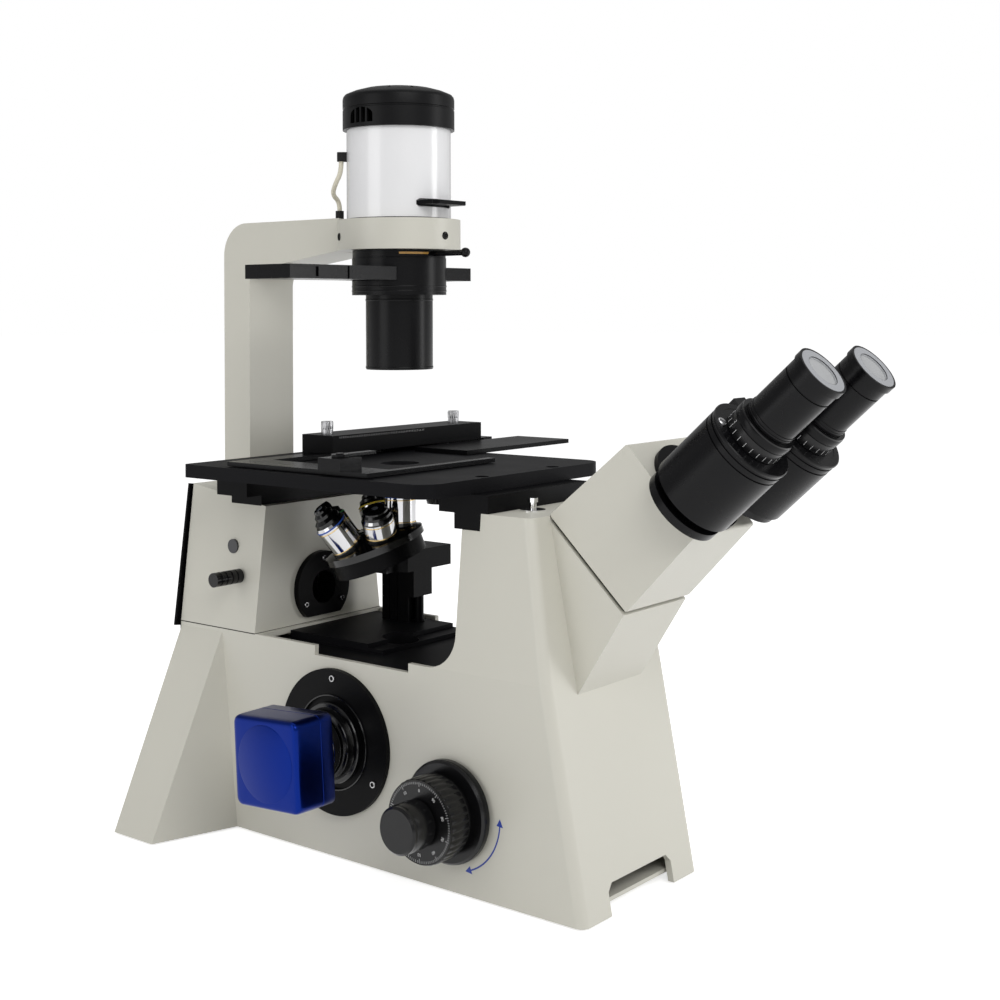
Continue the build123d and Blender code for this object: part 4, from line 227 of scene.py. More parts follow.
# Materials
def paint(name, base, grain, roughness, coat, peel):
    """Sprayed paint: orange peel, faint mottling and uneven gloss."""
    material, nodes, links, surface = shader(name, base, roughness, coat=coat)
    broad = noise(nodes, links, scale=9.0, detail=4.0)
    tinted(nodes, links, surface, base, broad, amount=0.022)
    spread(nodes, links, broad, roughness - 0.05, roughness + 0.06, surface.inputs["Roughness"])
    fine = noise(nodes, links, scale=1 / grain, detail=2.0)
    bump(nodes, links, surface, fine, strength=peel, distance=0.0002)
    return material


def anodised(name, base, roughness, grain=0.0005, specular=0.07):
    """Bead-blasted and anodised aluminium."""
    material, nodes, links, surface = shader(name, base, roughness, specular=specular)
    broad = noise(nodes, links, scale=22.0, detail=4.0)
    tinted(nodes, links, surface, base, broad, amount=0.12)
    spread(nodes, links, broad, roughness - 0.06, roughness + 0.07, surface.inputs["Roughness"])
    fine = noise(nodes, links, scale=1 / grain, detail=2.0)
    bump(nodes, links, surface, fine, strength=0.22, distance=0.00015)
    return material


def metal(name, base, roughness, stretch=(1, 1, 1), strength=0.05):
    """Turned or polished metal with faint tool lines."""
    material, nodes, links, surface = shader(name, base, roughness, metallic=1.0)
    lines = noise(nodes, links, scale=900.0, detail=2.0, stretch=stretch)
    spread(nodes, links, lines, roughness * 0.7, roughness * 1.4, surface.inputs["Roughness"])
    bump(nodes, links, surface, lines, strength, distance=0.00005)
    return material


def moulded(name, base, roughness, specular=0.5):
    """Moulded plastic or rubber with a fine sparked texture."""
    material, nodes, links, surface = shader(name, base, roughness, specular=specular)
    broad = noise(nodes, links, scale=40.0, detail=3.0)
    tinted(nodes, links, surface, base, broad, amount=0.08)
    fine = noise(nodes, links, scale=2600.0, detail=2.0)
    bump(nodes, links, surface, fine, strength=0.18, distance=0.0001)
    return material


def coated_glass(name, base, roughness=0.04):
    """Coated lens: dark body colour under a clear glossy coat."""
    material, nodes, links, surface = shader(name, base, roughness, coat=1.0, specular=0.8)
    broad = noise(nodes, links, scale=60.0, detail=2.0)
    tinted(nodes, links, surface, base, broad, amount=0.15)
    return material


def blue_metal(name, base):
    """Metallic blue anodising with a soft sheen."""
    material, nodes, links, surface = shader(name, base, 0.30, metallic=1.0, coat=0.08)
    broad = noise(nodes, links, scale=16.0, detail=4.0)
    tinted(nodes, links, surface, base, broad, amount=0.10)
    fine = noise(nodes, links, scale=1900.0, detail=2.0)
    bump(nodes, links, surface, fine, strength=0.15, distance=0.0001)
    return material


MATERIALS = {}


def make_materials(finish):
    """Every finish of the microscope, by name."""
    black = tuple(finish.black_colour)
    MATERIALS.update({
        "paint": paint("body_paint", tuple(finish.paint_colour), finish.grain, 0.42, 0.10, 0.20),
        "lamp": paint("lamp_paint", tuple(finish.lamp_colour), finish.grain * 1.6, 0.20, 0.60,
                      0.06),
        "black": anodised("black_anodised", black, 0.36),
        "satin": anodised("black_satin", tuple(part * 1.3 for part in black), 0.26, specular=0.16),
        "gloss": anodised("black_gloss", black, 0.12, specular=0.45),
        "stage": anodised("stage_black", tuple(finish.stage_colour), 0.50, 0.0007),
        "knob": moulded("knob_black", (0.0045, 0.0045, 0.005), 0.24, specular=0.30),
        "cap": moulded("cap_black", (0.005, 0.005, 0.0055), 0.38, specular=0.14),
        "rubber": moulded("foot_rubber", (0.014, 0.014, 0.014), 0.75, specular=0.25),
        "chrome": metal("bright_chrome", (0.82, 0.82, 0.83), 0.10),
        "dark_chrome": metal("objective_chrome", (0.52, 0.52, 0.53), 0.08),
        "steel": metal("zinc_steel", (0.50, 0.50, 0.51), 0.30, (1, 1, 8), 0.15),
        "plug": metal("plug_steel", (0.075, 0.075, 0.078), 0.34),
        "silver": metal("satin_silver", (0.62, 0.62, 0.63), 0.26),
        "brass": metal("turned_brass", (0.70, 0.50, 0.20), 0.24),
        "gold": metal("gold_ring", (0.72, 0.52, 0.22), 0.16),
        "glass": coated_glass("lens_glass", (0.20, 0.23, 0.27)),
        "eye_glass": coated_glass("eye_lens_glass", (0.42, 0.43, 0.44)),
        "rim": moulded("eye_rim_grey", (0.36, 0.37, 0.39), 0.34),
        "mirror": metal("mirror_silver", (0.90, 0.90, 0.90), 0.03, strength=0.0),
        "blue": blue_metal("camera_blue", tuple(finish.camera_colour)),
        "ceramic": moulded("socket_ceramic", (0.78, 0.76, 0.70), 0.30),
        "cream": moulded("cream_lead", (0.72, 0.68, 0.55), 0.40),
        "amber": coated_glass("amber_filter", (0.62, 0.33, 0.06), 0.10),
        "ring_blue": moulded("ring_blue", (0.02, 0.10, 0.50), 0.35),
        "ring_yellow": moulded("ring_yellow", (0.80, 0.60, 0.05), 0.35),
        "ring_green": moulded("ring_green", (0.05, 0.40, 0.10), 0.35),
        "arrow": moulded("arrow_print", tuple(finish.arrow_colour), 0.50),
        "mark": moulded("white_mark", tuple(finish.mark_colour), 0.55),
    })


NODE_FINISH = {
    "base_casting": "paint", "base_plate": "paint", "rubber_feet": "rubber", "deck_plate": "stage",
    "body_screws": "satin", "rear_housing": "paint", "rear_cover": "black", "epi_tube": "black",
    "hole_plug": "plug", "filter_slider": "knob", "head_flange": "black", "prism_head": "paint",
    "hinge_hub": "black", "hinge_clamp": "satin", "optics_mounts": "black", "optics_glass": "glass",
    "lower_mirror": "mirror", "path_dish": "chrome", "light_path_rod": "chrome",
    "side_port": "black", "camera_adapter": "gloss",
    "focus_bushings": "brass", "coarse_drive": "knob", "fine_drive": "knob", "tension_ring": "knob",
    "focus_lift": "black", "focus_column": "black", "nosepiece_carriage": "black",
    "turret_disc": "gloss", "objectives": "dark_chrome", "stage_plate": "stage",
    "stage_insert": "stage", "stage_posts": "black", "stage_rail": "black",
    "stage_carrier": "black", "thumb_screws": "steel", "specimen_frame": "satin",
    "holder_finger": "satin", "stage_y_drive": "knob", "stage_x_drive": "knob",
    "pillar_arm": "paint", "lamp_house": "lamp", "lamp_cap": "cap", "lamp_socket": "ceramic",
    "lamp_optics": "glass", "filter_tray": "black", "lead_glands": "rubber", "lamp_lead": "cream",
    "condenser_barrel": "satin", "condenser_tube": "satin", "aperture_ring": "satin",
    "phase_slider": "satin", "left_eyepiece_tube": "satin", "right_eyepiece_tube": "satin",
    "left_diopter_ring": "knob", "right_diopter_ring": "knob",
    "left_eyepiece": "satin", "right_eyepiece": "satin",
}


# Mesh helpers
def axis_frame(origin, axis, first=None):
    """Matrix whose z runs along an axis through a point, and whose x leans to a direction."""
    z_dir = Vector(axis).normalized()
    lean = Vector(first) if first is not None else (UP if abs(z_dir.z) < 0.9 else RIGHT)
    x_dir = (lean - z_dir * lean.dot(z_dir)).normalized()
    y_dir = z_dir.cross(x_dir)
    matrix = Matrix((x_dir, y_dir, z_dir)).transposed().to_4x4()
    matrix.translation = Vector(origin)
    return matrix


def round_point(matrix, angle, radius, height):
    """Point at an angle, radius and height about a matrix's z axis."""
    return matrix @ Vector((radius * cos(angle), radius * sin(angle), height))


def turned(matrix, angle, radius, height):
    """Matrix on a cylinder or disc: at an angle, radius and height, x pointing outward."""
    return matrix @ Matrix.Rotation(angle, 4, "Z") @ Matrix.Translation((radius, 0, height))


def new_object(name, data):
    """Object with its data, linked to the scene."""
    made = bpy.data.objects.new(name, data)
    bpy.context.scene.collection.objects.link(made)
    return made


def final_mesh(source):
    """Mesh of an object once its modifiers or curve settings are worked out."""
    bpy.context.view_layer.update()
    graph = bpy.context.evaluated_depsgraph_get()
    return bpy.data.meshes.new_from_object(source.evaluated_get(graph))


def drawn_mesh(name, work):
    """Mesh of the faces drawn so far, turned outward."""
    bmesh.ops.recalc_face_normals(work, faces=work.faces)
    mesh = bpy.data.meshes.new(name)
    work.to_mesh(mesh)
    work.free()
    return mesh


def skin(work, rows, wrap=True):
    """Faces between following rows of points; wrap joins a row's last point to its first."""
    for before, after in zip(rows, rows[1:]):
        count = len(before)
        for index in range(count if wrap else count - 1):
            other = (index + 1) % count
            work.faces.new((before[index], after[index], after[other], before[other]))


def add_piece(name, mesh, body, finish, smooth=True):
    """Puts a mesh in the scene as one piece that rides on a body."""
    mesh.materials.append(MATERIALS[finish])
    for polygon in mesh.polygons:
        polygon.use_smooth = smooth
    piece = new_object(name, mesh)
    if smooth:
        piece.modifiers.new("edges", "EDGE_SPLIT").split_angle = EDGE_ANGLE
    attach(piece, body)
    return piece


def lathe(name, matrix, profile, body, finish, segments=96, ribs=0, depth=0.0):
    """Turns a closed (radius, height) profile; ribs round its outer points with grooves between."""
    count = ribs * len(RIB_SHAPE) if ribs else segments
    ribbed_from = max(radius for radius, _ in profile) - RIB_ZONE
    work = bmesh.new()
    rings = []
    for step in range(count):
        angle = 2 * pi * step / count
        dip = depth * RIB_SHAPE[step % len(RIB_SHAPE)] if ribs else 0.0
        ring = []
        for radius, height in profile:
            reach = radius - dip if radius > ribbed_from else radius
            ring.append(work.verts.new(round_point(matrix, angle, reach, height)))
        rings.append(ring)
    skin(work, [*rings, rings[0]])
    return add_piece(name, drawn_mesh(name, work), body, finish)


def band(name, matrix, radius, low, high, body, finish, proud=0.0002, depth=0.0012):
    """Thin coloured or bright band round a cylinder."""
    edge = (high - low) * BAND_EDGE
    inner, outer = radius - depth, radius + proud
    shoulder = outer - edge / 2
    profile = [(inner, low), (shoulder, low), (outer, low + edge),
               (outer, high - edge), (shoulder, high), (inner, high)]
    lathe(name, matrix, profile, body, finish)


def slab(work, matrix, size):
    """Adds a small bevel-free block to a mesh, centred on a matrix."""
    made = bmesh.ops.create_cube(work, size=1.0)
    scale = Matrix.Diagonal((*size, 1))
    bmesh.ops.transform(work, matrix=matrix @ scale, verts=made["verts"])


def marks(name, places, size, body, finish):
    """Row of equal small printed or engraved marks, one at each matrix."""
    work = bmesh.new()
    for place in places:
        slab(work, place, size)
    add_piece(name, drawn_mesh(name, work), body, finish, smooth=False)


def cut(piece, work):
    """Takes closed blocks out of a piece's mesh."""
    mesh = drawn_mesh("cutter", work)
    cutter = new_object("cutter", mesh)
    boolean = piece.modifiers.new("cut", "BOOLEAN")
    boolean.object = cutter
    boolean.operation = "DIFFERENCE"
    boolean.solver = "EXACT"
    result = final_mesh(piece)
    piece.modifiers.remove(boolean)
    piece.data = result
    bpy.data.objects.remove(cutter)
    bpy.data.meshes.remove(mesh)


def number(name, text, matrix, size, body):
    """Plain white number as a thin mesh."""
    curve = bpy.data.curves.new(name, "FONT")
    curve.body = text
    curve.size = size
    curve.align_x = "CENTER"
    curve.align_y = "CENTER"
    curve.extrude = PRINT_HEIGHT
    holder = new_object(name, curve)
    mesh = final_mesh(holder)
    bpy.data.objects.remove(holder)
    bpy.data.curves.remove(curve)
    mesh.materials.clear()
    mesh.transform(matrix)
    mesh.name = name
    add_piece(name, mesh, body, "mark", smooth=False)


def socket_screw(name, matrix, radius, body, finish="silver"):
    """Socket-head screw: domed rim and a dark hexagonal recess."""
    rise = radius * 0.5
    recess = radius * 0.69
    head = [(CORE, 0), (radius, 0), (radius, rise * 0.7), (radius * 0.92, rise),
            (radius * 0.72, rise), (radius * 0.70, rise * 0.35), (CORE, rise * 0.3)]
    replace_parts(lathe(name, matrix, head, body, finish, segments=30), "body_screws")
    hexagon = [(CORE, rise * 0.36), (recess, rise * 0.36), (recess, rise * 0.6), (CORE, rise * 0.6)]
    lathe(name + "_socket", matrix, hexagon, body, "black", segments=6)


# Stage, camera and lights
def seen_rays(nodes, links, level):
    """A level for rays that come straight, mirrored or through glass from the camera."""
    path = nodes.new("ShaderNodeLightPath")
    seen = path.outputs["Is Camera Ray"]
    for kind in ("Is Glossy Ray", "Is Transmission Ray"):
        either = nodes.new("ShaderNodeMath")
        either.operation = "MAXIMUM"
        links.new(seen, either.inputs[0])
        links.new(path.outputs[kind], either.inputs[1])
        seen = either.outputs["Value"]
    scaled = nodes.new("ShaderNodeMath")
    scaled.operation = "MULTIPLY"
    scaled.inputs[1].default_value = level
    links.new(seen, scaled.inputs[0])
    return scaled.outputs["Value"]


def pale_floor(size):
    """White floor that keeps a soft shadow."""
    bpy.ops.mesh.primitive_plane_add(size=size)
    floor = bpy.context.object
    floor.name = "floor"
    material = bpy.data.materials.new("floor_white")
    material.use_nodes = True
    nodes, links = material.node_tree.nodes, material.node_tree.links
    nodes.clear()
    cloth = nodes.new("ShaderNodeBsdfDiffuse")
    cloth.inputs["Color"].default_value = FLOOR_WHITE
    glow = nodes.new("ShaderNodeEmission")
    total = nodes.new("ShaderNodeAddShader")
    out = nodes.new("ShaderNodeOutputMaterial")
    links.new(seen_rays(nodes, links, FLOOR_GLOW), glow.inputs["Strength"])
    links.new(cloth.outputs["BSDF"], total.inputs[0])
    links.new(glow.outputs["Emission"], total.inputs[1])
    links.new(total.outputs["Shader"], out.inputs["Surface"])
    floor.data.materials.append(material)


def white_world(level):
    """Even room light, shown white to the camera."""
    world = bpy.data.worlds.new("studio")
    bpy.context.scene.world = world
    world.use_nodes = True
    nodes, links = world.node_tree.nodes, world.node_tree.links
    background = nodes["Background"]
    background.inputs["Color"].default_value = (1, 1, 1, 1)
    path = nodes.new("ShaderNodeLightPath")
    spread(nodes, links, path.outputs["Is Camera Ray"], level, 1.0, background.inputs["Strength"])


def soft_light(name, place, target, size, power):
    """Rectangular soft light that faces a point."""
    light = bpy.data.lights.new(name, "AREA")
    light.shape = "RECTANGLE"
    light.size, light.size_y = size
    light.energy = power
    lamp = new_object(name, light)
    lamp.location = place
    lamp.rotation_euler = (Vector(target) - Vector(place)).to_track_quat("-Z", "Y").to_euler()


def photo_camera(sizes):
    """Camera at the photograph's place, heading and framing."""
    heading, pitch, roll = sizes.camera_heading, sizes.camera_pitch, sizes.camera_roll
    ahead = Vector((-sin(heading) * cos(pitch), cos(heading) * cos(pitch), sin(pitch)))
    level = Vector((cos(heading), sin(heading), 0))
    upright = level.cross(ahead)
    right = level * cos(roll) + upright * sin(roll)
    over = upright * cos(roll) - level * sin(roll)
    data = bpy.data.cameras.new("photo_camera")
    data.lens = sizes.camera_lens
    data.sensor_width = SENSOR_WIDTH
    data.shift_x, data.shift_y = sizes.camera_shift
    data.clip_end = 100
    camera = new_object("photo_camera", data)
    turn = Matrix((right, over, -ahead)).transposed().to_4x4()
    turn.translation = Vector(sizes.camera_place)
    camera.matrix_world = turn
    bpy.context.scene.camera = camera


class MICROSCOPE_OT_studio(bpy.types.Operator):
    """Camera, pale floor and soft lights"""
    bl_idname = "microscope.studio"
    bl_label = "Studio"

    def execute(self, context):
        sizes = context.scene.microscope_studio
        context.scene.view_settings.view_transform = "Standard"
        photo_camera(sizes)
        pale_floor(sizes.floor_size)
        white_world(sizes.world_level)
        middle = (0, -0.05, 0.25)
        soft_light("key", (-1.1, -1.9, 1.7), middle, (1.6, 1.2), sizes.key_power)
        soft_light("fill", (-2.2, 0.5, 0.9), middle, (1.2, 1.6), sizes.fill_power)
        soft_light("top", (0.2, 0.1, 2.2), middle, (1.8, 1.8), sizes.top_power)
        soft_light("side", (1.2, -1.6, 0.8), middle, (0.5, 1.6), sizes.fill_power)
        return {"FINISHED"}


# Bends of the lead from the lamp house down to the arm, in millimetres
LEAD_ROUTE = [(-30.2, 31.8, 514.0), (-30.2, 31.8, 506.0), (-31.0, 37.5, 497.0),
              (-27.0, 44.5, 489.5), (-17.5, 46.0, 484.5), (-17.5, 46.0, 477.5)]


class MICROSCOPE_OT_lamp_lead(bpy.types.Operator):
    """Thin cream lead between the lamp house and the arm"""
    bl_idname = "microscope.lamp_lead"
    bl_label = "Lamp lead"

    def execute(self, context):
        curve = bpy.data.curves.new("lamp_lead", "CURVE")
        curve.dimensions = "3D"
        spline = curve.splines.new("NURBS")
        spline.points.add(len(LEAD_ROUTE) - 1)
        for point, place in zip(spline.points, LEAD_ROUTE):
            point.co = (*[part * MM for part in place], 1)
        spline.use_endpoint_u = True
        spline.order_u = 3
        curve.resolution_u = 16
        curve.bevel_depth = 1.8 * MM
        curve.bevel_resolution = 6
        curve.use_fill_caps = True
        lead = new_object("lamp_lead_wire", curve)
        curve.materials.append(MATERIALS["cream"])
        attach(lead, "stand")
        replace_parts(lead, "lamp_lead")
        return {"FINISHED"}


class MICROSCOPE_OT_finishes(bpy.types.Operator):
    """Finish of every solid piece"""
    bl_idname = "microscope.finishes"
    bl_label = "Finishes"

    def execute(self, context):
        make_materials(context.scene.microscope_finish)
        for node, finish in NODE_FINISH.items():
            for slot in frame["nodes"][node].material_slots:
                slot.link = "OBJECT"
                slot.material = MATERIALS[finish]
        return {"FINISHED"}


# Focus knobs: heights along the focus axis from the middle of the stand, and dial radii
COARSE_GRIP = (0.0866, 0.1036)
FINE_GRIP = (0.1085, 0.1245)
DIAL_FACE = 0.10484
DIAL_TICK_RADIUS = 0.0262
DIAL_LONG_TICK_RADIUS = 0.0256
DIAL_NUMBER_RADIUS = 0.0214
DIAL_NUMBERS = 10
DIAL_NUMBER_SIZE = 0.0030
DIAL_TICK = (0.0016, 0.00022, 0.00008)
DIAL_LONG_TICK = (0.0030, 0.00028, 0.00008)


def focus_frame(side):
    """Frame on the focus axis: z outward on one side, x up."""
    return axis_frame(FOCUS_CENTRE, (side, 0, 0), UP)


class MICROSCOPE_OT_focus_knobs(bpy.types.Operator):
    """Knurling, dial marks and plain numbers of the focus knobs"""
    bl_idname = "microscope.focus_knobs"
    bl_label = "Focus knobs"

    def execute(self, context):
        sizes = context.scene.microscope_knobs
        for name, side in SIDES.items():
            place = focus_frame(side)
            radius = sizes.coarse_radius
            low, high = COARSE_GRIP
            coarse = [(radius - 0.003, low), (radius + 0.0002, low),
                      (radius + 0.0008, low + 0.0010), (radius + 0.0008, high - 0.0010),
                      (radius + 0.0002, high), (radius - 0.003, high)]
            lathe(f"coarse_grip_{name}", place, coarse, "coarse_drive", "knob",
                  ribs=sizes.coarse_ribs, depth=sizes.rib_depth)
            radius = sizes.fine_radius
            low, high = FINE_GRIP
            fine = [(radius - 0.002, low), (radius + 0.0002, low + 0.0006),
                    (radius + 0.0003, low + 0.0014), (radius + 0.0003, high - 0.0016),
                    (radius, high - 0.0004), (radius - 0.002, high)]
            lathe(f"fine_grip_{name}", place, fine, "fine_drive", "knob")
            self.dial(place, name, sizes.dial_ticks)
        radius = sizes.tension_radius
        tension = [(radius - 0.003, 0.0728), (radius, 0.0730), (radius + 0.0003, 0.0736),
                   (radius + 0.0003, 0.0774), (radius - 0.0008, 0.0785), (radius - 0.003, 0.0790)]
        lathe("tension_grip", focus_frame(SIDES["left"]), tension, "tension_ring", "satin",
              segments=128)
        return {"FINISHED"}

    def dial(self, place, name, count):
        """Ticks and numbers on the outer face of one coarse knob."""
        short_places = []
        long_places = []
        for index in range(count):
            angle = 2 * pi * index / count
            if index % 10:
                short_places.append(turned(place, angle, DIAL_TICK_RADIUS, DIAL_FACE))
            else:
                long_places.append(turned(place, angle, DIAL_LONG_TICK_RADIUS, DIAL_FACE))
        marks(f"dial_ticks_{name}", short_places, DIAL_TICK, "coarse_drive", "mark")
        marks(f"dial_long_ticks_{name}", long_places, DIAL_LONG_TICK, "coarse_drive", "mark")
        upright = Matrix.Rotation(-pi / 2, 4, "Z")
        for index in range(DIAL_NUMBERS):
            angle = 2 * pi * index / DIAL_NUMBERS
            spot = turned(place, angle, DIAL_NUMBER_RADIUS, DIAL_FACE) @ upright
            number(f"dial_number_{name}_{index}", str(index * 10), spot, DIAL_NUMBER_SIZE,
                   "coarse_drive")


# Binocular: heights along a tube from its barrel end, each place a radius and a height
EYE_END = 0.065
TUBE_UPPER_SIDE = Vector((0, 0.67, 0.74))
DIOPTER_TICKS = 24
DIOPTER_TICK = (0.00012, 0.00032, 0.0036)
DIOPTER_TICK_PLACE = (0.02003, 0.0031)
DIOPTER_NUMBERS = 5
DIOPTER_NUMBER_STEP = 30
DIOPTER_NUMBER_PLACE = (0.02008, 0.0068)
EYEPIECE_RADIUS = 0.0171
EYEPIECE_STEPS = ((0.0172, 0.0188), (0.0200, 0.0210))
LOCK_SCREW_ANGLE = 52
LOCK_SCREW_PLACE = (0.0246, 0.0)
LOCK_SCREW_SLOT = (0.0050, 0.0008, 0.00012)
FACING_OUT = Matrix(((0, 0, 1, 0), (1, 0, 0, 0), (0, 1, 0, 0), (0, 0, 0, 1)))


class MICROSCOPE_OT_binocular(bpy.types.Operator):
    """Rings, marks, screws and lenses of the eyepieces"""
    bl_idname = "microscope.binocular"
    bl_label = "Binocular"

    def execute(self, context):
        for name, side in SIDES.items():
            place = axis_frame(JOINTS[f"{name}_diopter_turn"]["pos_m"], TUBE_AXIS,
                               TUBE_UPPER_SIDE)
            self.barrel(name, place, f"{name}_tube", side)
            self.diopter(name, place, f"{name}_diopter")
            self.eye(name, place, f"{name}_tube")
        return {"FINISHED"}

    def barrel(self, name, place, tube, side):
        """Lip, steps and lock screw of one tube."""
        lip = [(0.0245, -0.0022), (0.0291, -0.0022), (0.02935, -0.0016), (0.02935, -0.0004),
               (0.0288, 0.0002), (0.0245, 0.0002)]
        lathe(f"barrel_lip_{name}", place, lip, tube, "satin")
        for index, (low, high) in enumerate(EYEPIECE_STEPS):
            band(f"eyepiece_step_{name}_{index}", place, EYEPIECE_RADIUS, low, high, tube, "satin",
                 proud=0.0003)
        spot = turned(place, radians(-side * LOCK_SCREW_ANGLE), *LOCK_SCREW_PLACE)
        screw = [(CORE, 0), (0.0031, 0), (0.0031, 0.0010), (0.0027, 0.0014), (CORE, 0.0015)]
        lathe(f"tube_screw_{name}", spot, screw, tube, "silver", segments=36)
        marks(f"tube_screw_{name}_slot", [spot @ Matrix.Translation((0, 0, 0.00146))],
              LOCK_SCREW_SLOT, tube, "black")

    def diopter(self, name, place, ring):
        """Smooth band, ticks and numbers of one diopter ring."""
        grip = [(0.018, 0.0088), (0.0201, 0.0090), (0.0204, 0.0097), (0.0204, 0.0141),
                (0.0200, 0.0148), (0.018, 0.0150)]
        lathe(f"diopter_grip_{name}", place, grip, ring, "satin")
        ticks = [turned(place, 2 * pi * index / DIOPTER_TICKS, *DIOPTER_TICK_PLACE)
                 for index in range(DIOPTER_TICKS)]
        marks(f"diopter_ticks_{name}", ticks, DIOPTER_TICK, ring, "mark")
        middle = DIOPTER_NUMBERS // 2
        for index in range(DIOPTER_NUMBERS):
            angle = radians(DIOPTER_NUMBER_STEP * (index - middle))
            spot = turned(place, angle, *DIOPTER_NUMBER_PLACE) @ FACING_OUT
            number(f"diopter_number_{name}_{index}", str(abs(index - middle)), spot,
                   DIAL_NUMBER_SIZE, ring)

    def eye(self, name, place, tube):
        """Grey rim and domed lens at the end of one eyepiece."""
        rim = [(0.0108, EYE_END - 0.0010), (0.0112, EYE_END + 0.00005),
               (0.0164, EYE_END + 0.00005), (0.0166, EYE_END - 0.0010)]
        lathe(f"eye_rim_{name}", place, rim, tube, "rim")
        lens = [(CORE / 2, EYE_END - 0.0004), (0.004, EYE_END - 0.0005), (0.008, EYE_END - 0.0007),
                (0.0109, EYE_END - 0.00094), (0.0109, EYE_END - 0.0014),
                (CORE / 2, EYE_END - 0.0014)]
        lathe(f"eye_lens_{name}", place, lens, tube, "eye_glass")


# Objectives in the turret's order: name, radius and length of each step in millimetres from the
# seat up, and the finish of the coloured ring
OBJECTIVE_LOOKS = [
    ("working", [(12.0, 22.32), (10.56, 5.04), (7.92, 4.32), (5.76, 4.32)], "ring_blue"),
    ("low", [(12.0, 18.72), (10.32, 3.9), (7.92, 3.38)], "ring_yellow"),
    ("medium", [(12.0, 21.78), (10.32, 5.28), (6.24, 5.94)], "ring_green"),
    ("high", [(12.0, 23.76), (10.08, 5.04), (7.2, 4.32), (5.04, 2.88)], "ring_blue"),
    ("scan", [(12.0, 15.4), (10.8, 3.96), (9.36, 2.64)], "gloss"),
]
SEAT_HEIGHT = 0.2385
NOSE_STRAIGHT = 0.55
NOSE_SKIN = 0.0001
FRONT_LENS_RADIUS = 0.0030


class MICROSCOPE_OT_objectives(bpy.types.Operator):
    """Smooth barrels, gold and colour rings, dark noses and lenses of the objectives"""
    bl_idname = "microscope.objectives"
    bl_label = "Objectives"

    def execute(self, context):
        home = Matrix.Translation((0, 0, SEAT_HEIGHT))
        pivot = Matrix.Translation(TURRET_CENTRE)
        for index, (name, steps, colour) in enumerate(OBJECTIVE_LOOKS):
            turn = Matrix.Rotation(2 * pi * index / len(OBJECTIVE_LOOKS), 4, TURRET_AXIS)
            place = pivot @ turn @ pivot.inverted() @ home
            radius, top = (part * MM for part in steps[0])
            self.barrel(name, place, radius, top, colour)
            self.nose(name, place, steps[1:], top)
        cone = [(0.0094, 0.0040), (0.0094, 0.0043), (0.0130, 0.0030), (0.0130, 0.0026)]
        lathe("turret_cone", axis_frame(TURRET_CENTRE, TURRET_AXIS), cone, "turret", "silver")
        return {"FINISHED"}

    def barrel(self, name, place, radius, top, colour):
        """Bright barrel with its rings."""
        outline = [(CORE, 0.0), (radius, 0.0), (radius, top - 0.0020), (radius - 0.0013, top),
                   (CORE, top)]
        barrel = lathe(f"objective_barrel_{name}", place, outline, "turret", "dark_chrome")
        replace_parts(barrel, "objectives")
        band(f"objective_base_{name}", place, radius, 0.0003, 0.0012, "turret", "gold")
        band(f"objective_gold_{name}", place, radius, top - 0.0052, top - 0.0045, "turret", "gold")
        band(f"objective_colour_{name}", place, radius, top - 0.0032, top - 0.0020, "turret",
             colour)

    def nose(self, name, place, steps, top):
        """Dark nose that tapers step by step to the front lens."""
        high = top
        outline = []
        for step_radius, length in steps:
            reach = step_radius * MM + NOSE_SKIN
            outline += [(reach, high + NOSE_SKIN), (reach, high + length * NOSE_STRAIGHT * MM)]
            high += length * MM
        bore = FRONT_LENS_RADIUS + NOSE_SKIN
        outline += [(reach * 0.8, high + NOSE_SKIN), (bore, high + NOSE_SKIN),
                    (bore, top + NOSE_SKIN)]
        lathe(f"objective_nose_{name}", place, outline, "turret", "gloss")
        lens = [(CORE / 2, high - 0.0003), (FRONT_LENS_RADIUS, high - 0.0006),
                (FRONT_LENS_RADIUS, high - 0.0014), (CORE / 2, high - 0.0014)]
        lathe(f"objective_lens_{name}", place, lens, "turret", "glass", segments=32)


# Lamp, condenser and arm: heights above the floor on the condenser axis, each place a radius
# and a height
CONDENSER_GROOVES = (0.4145, 0.4180)
CONDENSER_STEPS = (0.3562, 0.4075)
CAP_FOOT = 0.5375
CAP_WALL = 0.0030
CAP_SLOTS = 12
CAP_SLOT_PLACE = (0.0285, 0.5680)
CAP_SLOT = (0.0130, 0.0018, 0.0090)
VENT_SIDES = (0, pi)
VENT_BAR_TURNS = (-7.4, 0, 7.4)
VENT_BAR_PLACE = (0.0414, 0.5462)
VENT_BAR = (0.0022, 0.0016, 0.0124)
AMBER_ARC = (-100, -38)
ARC_STEPS = 12


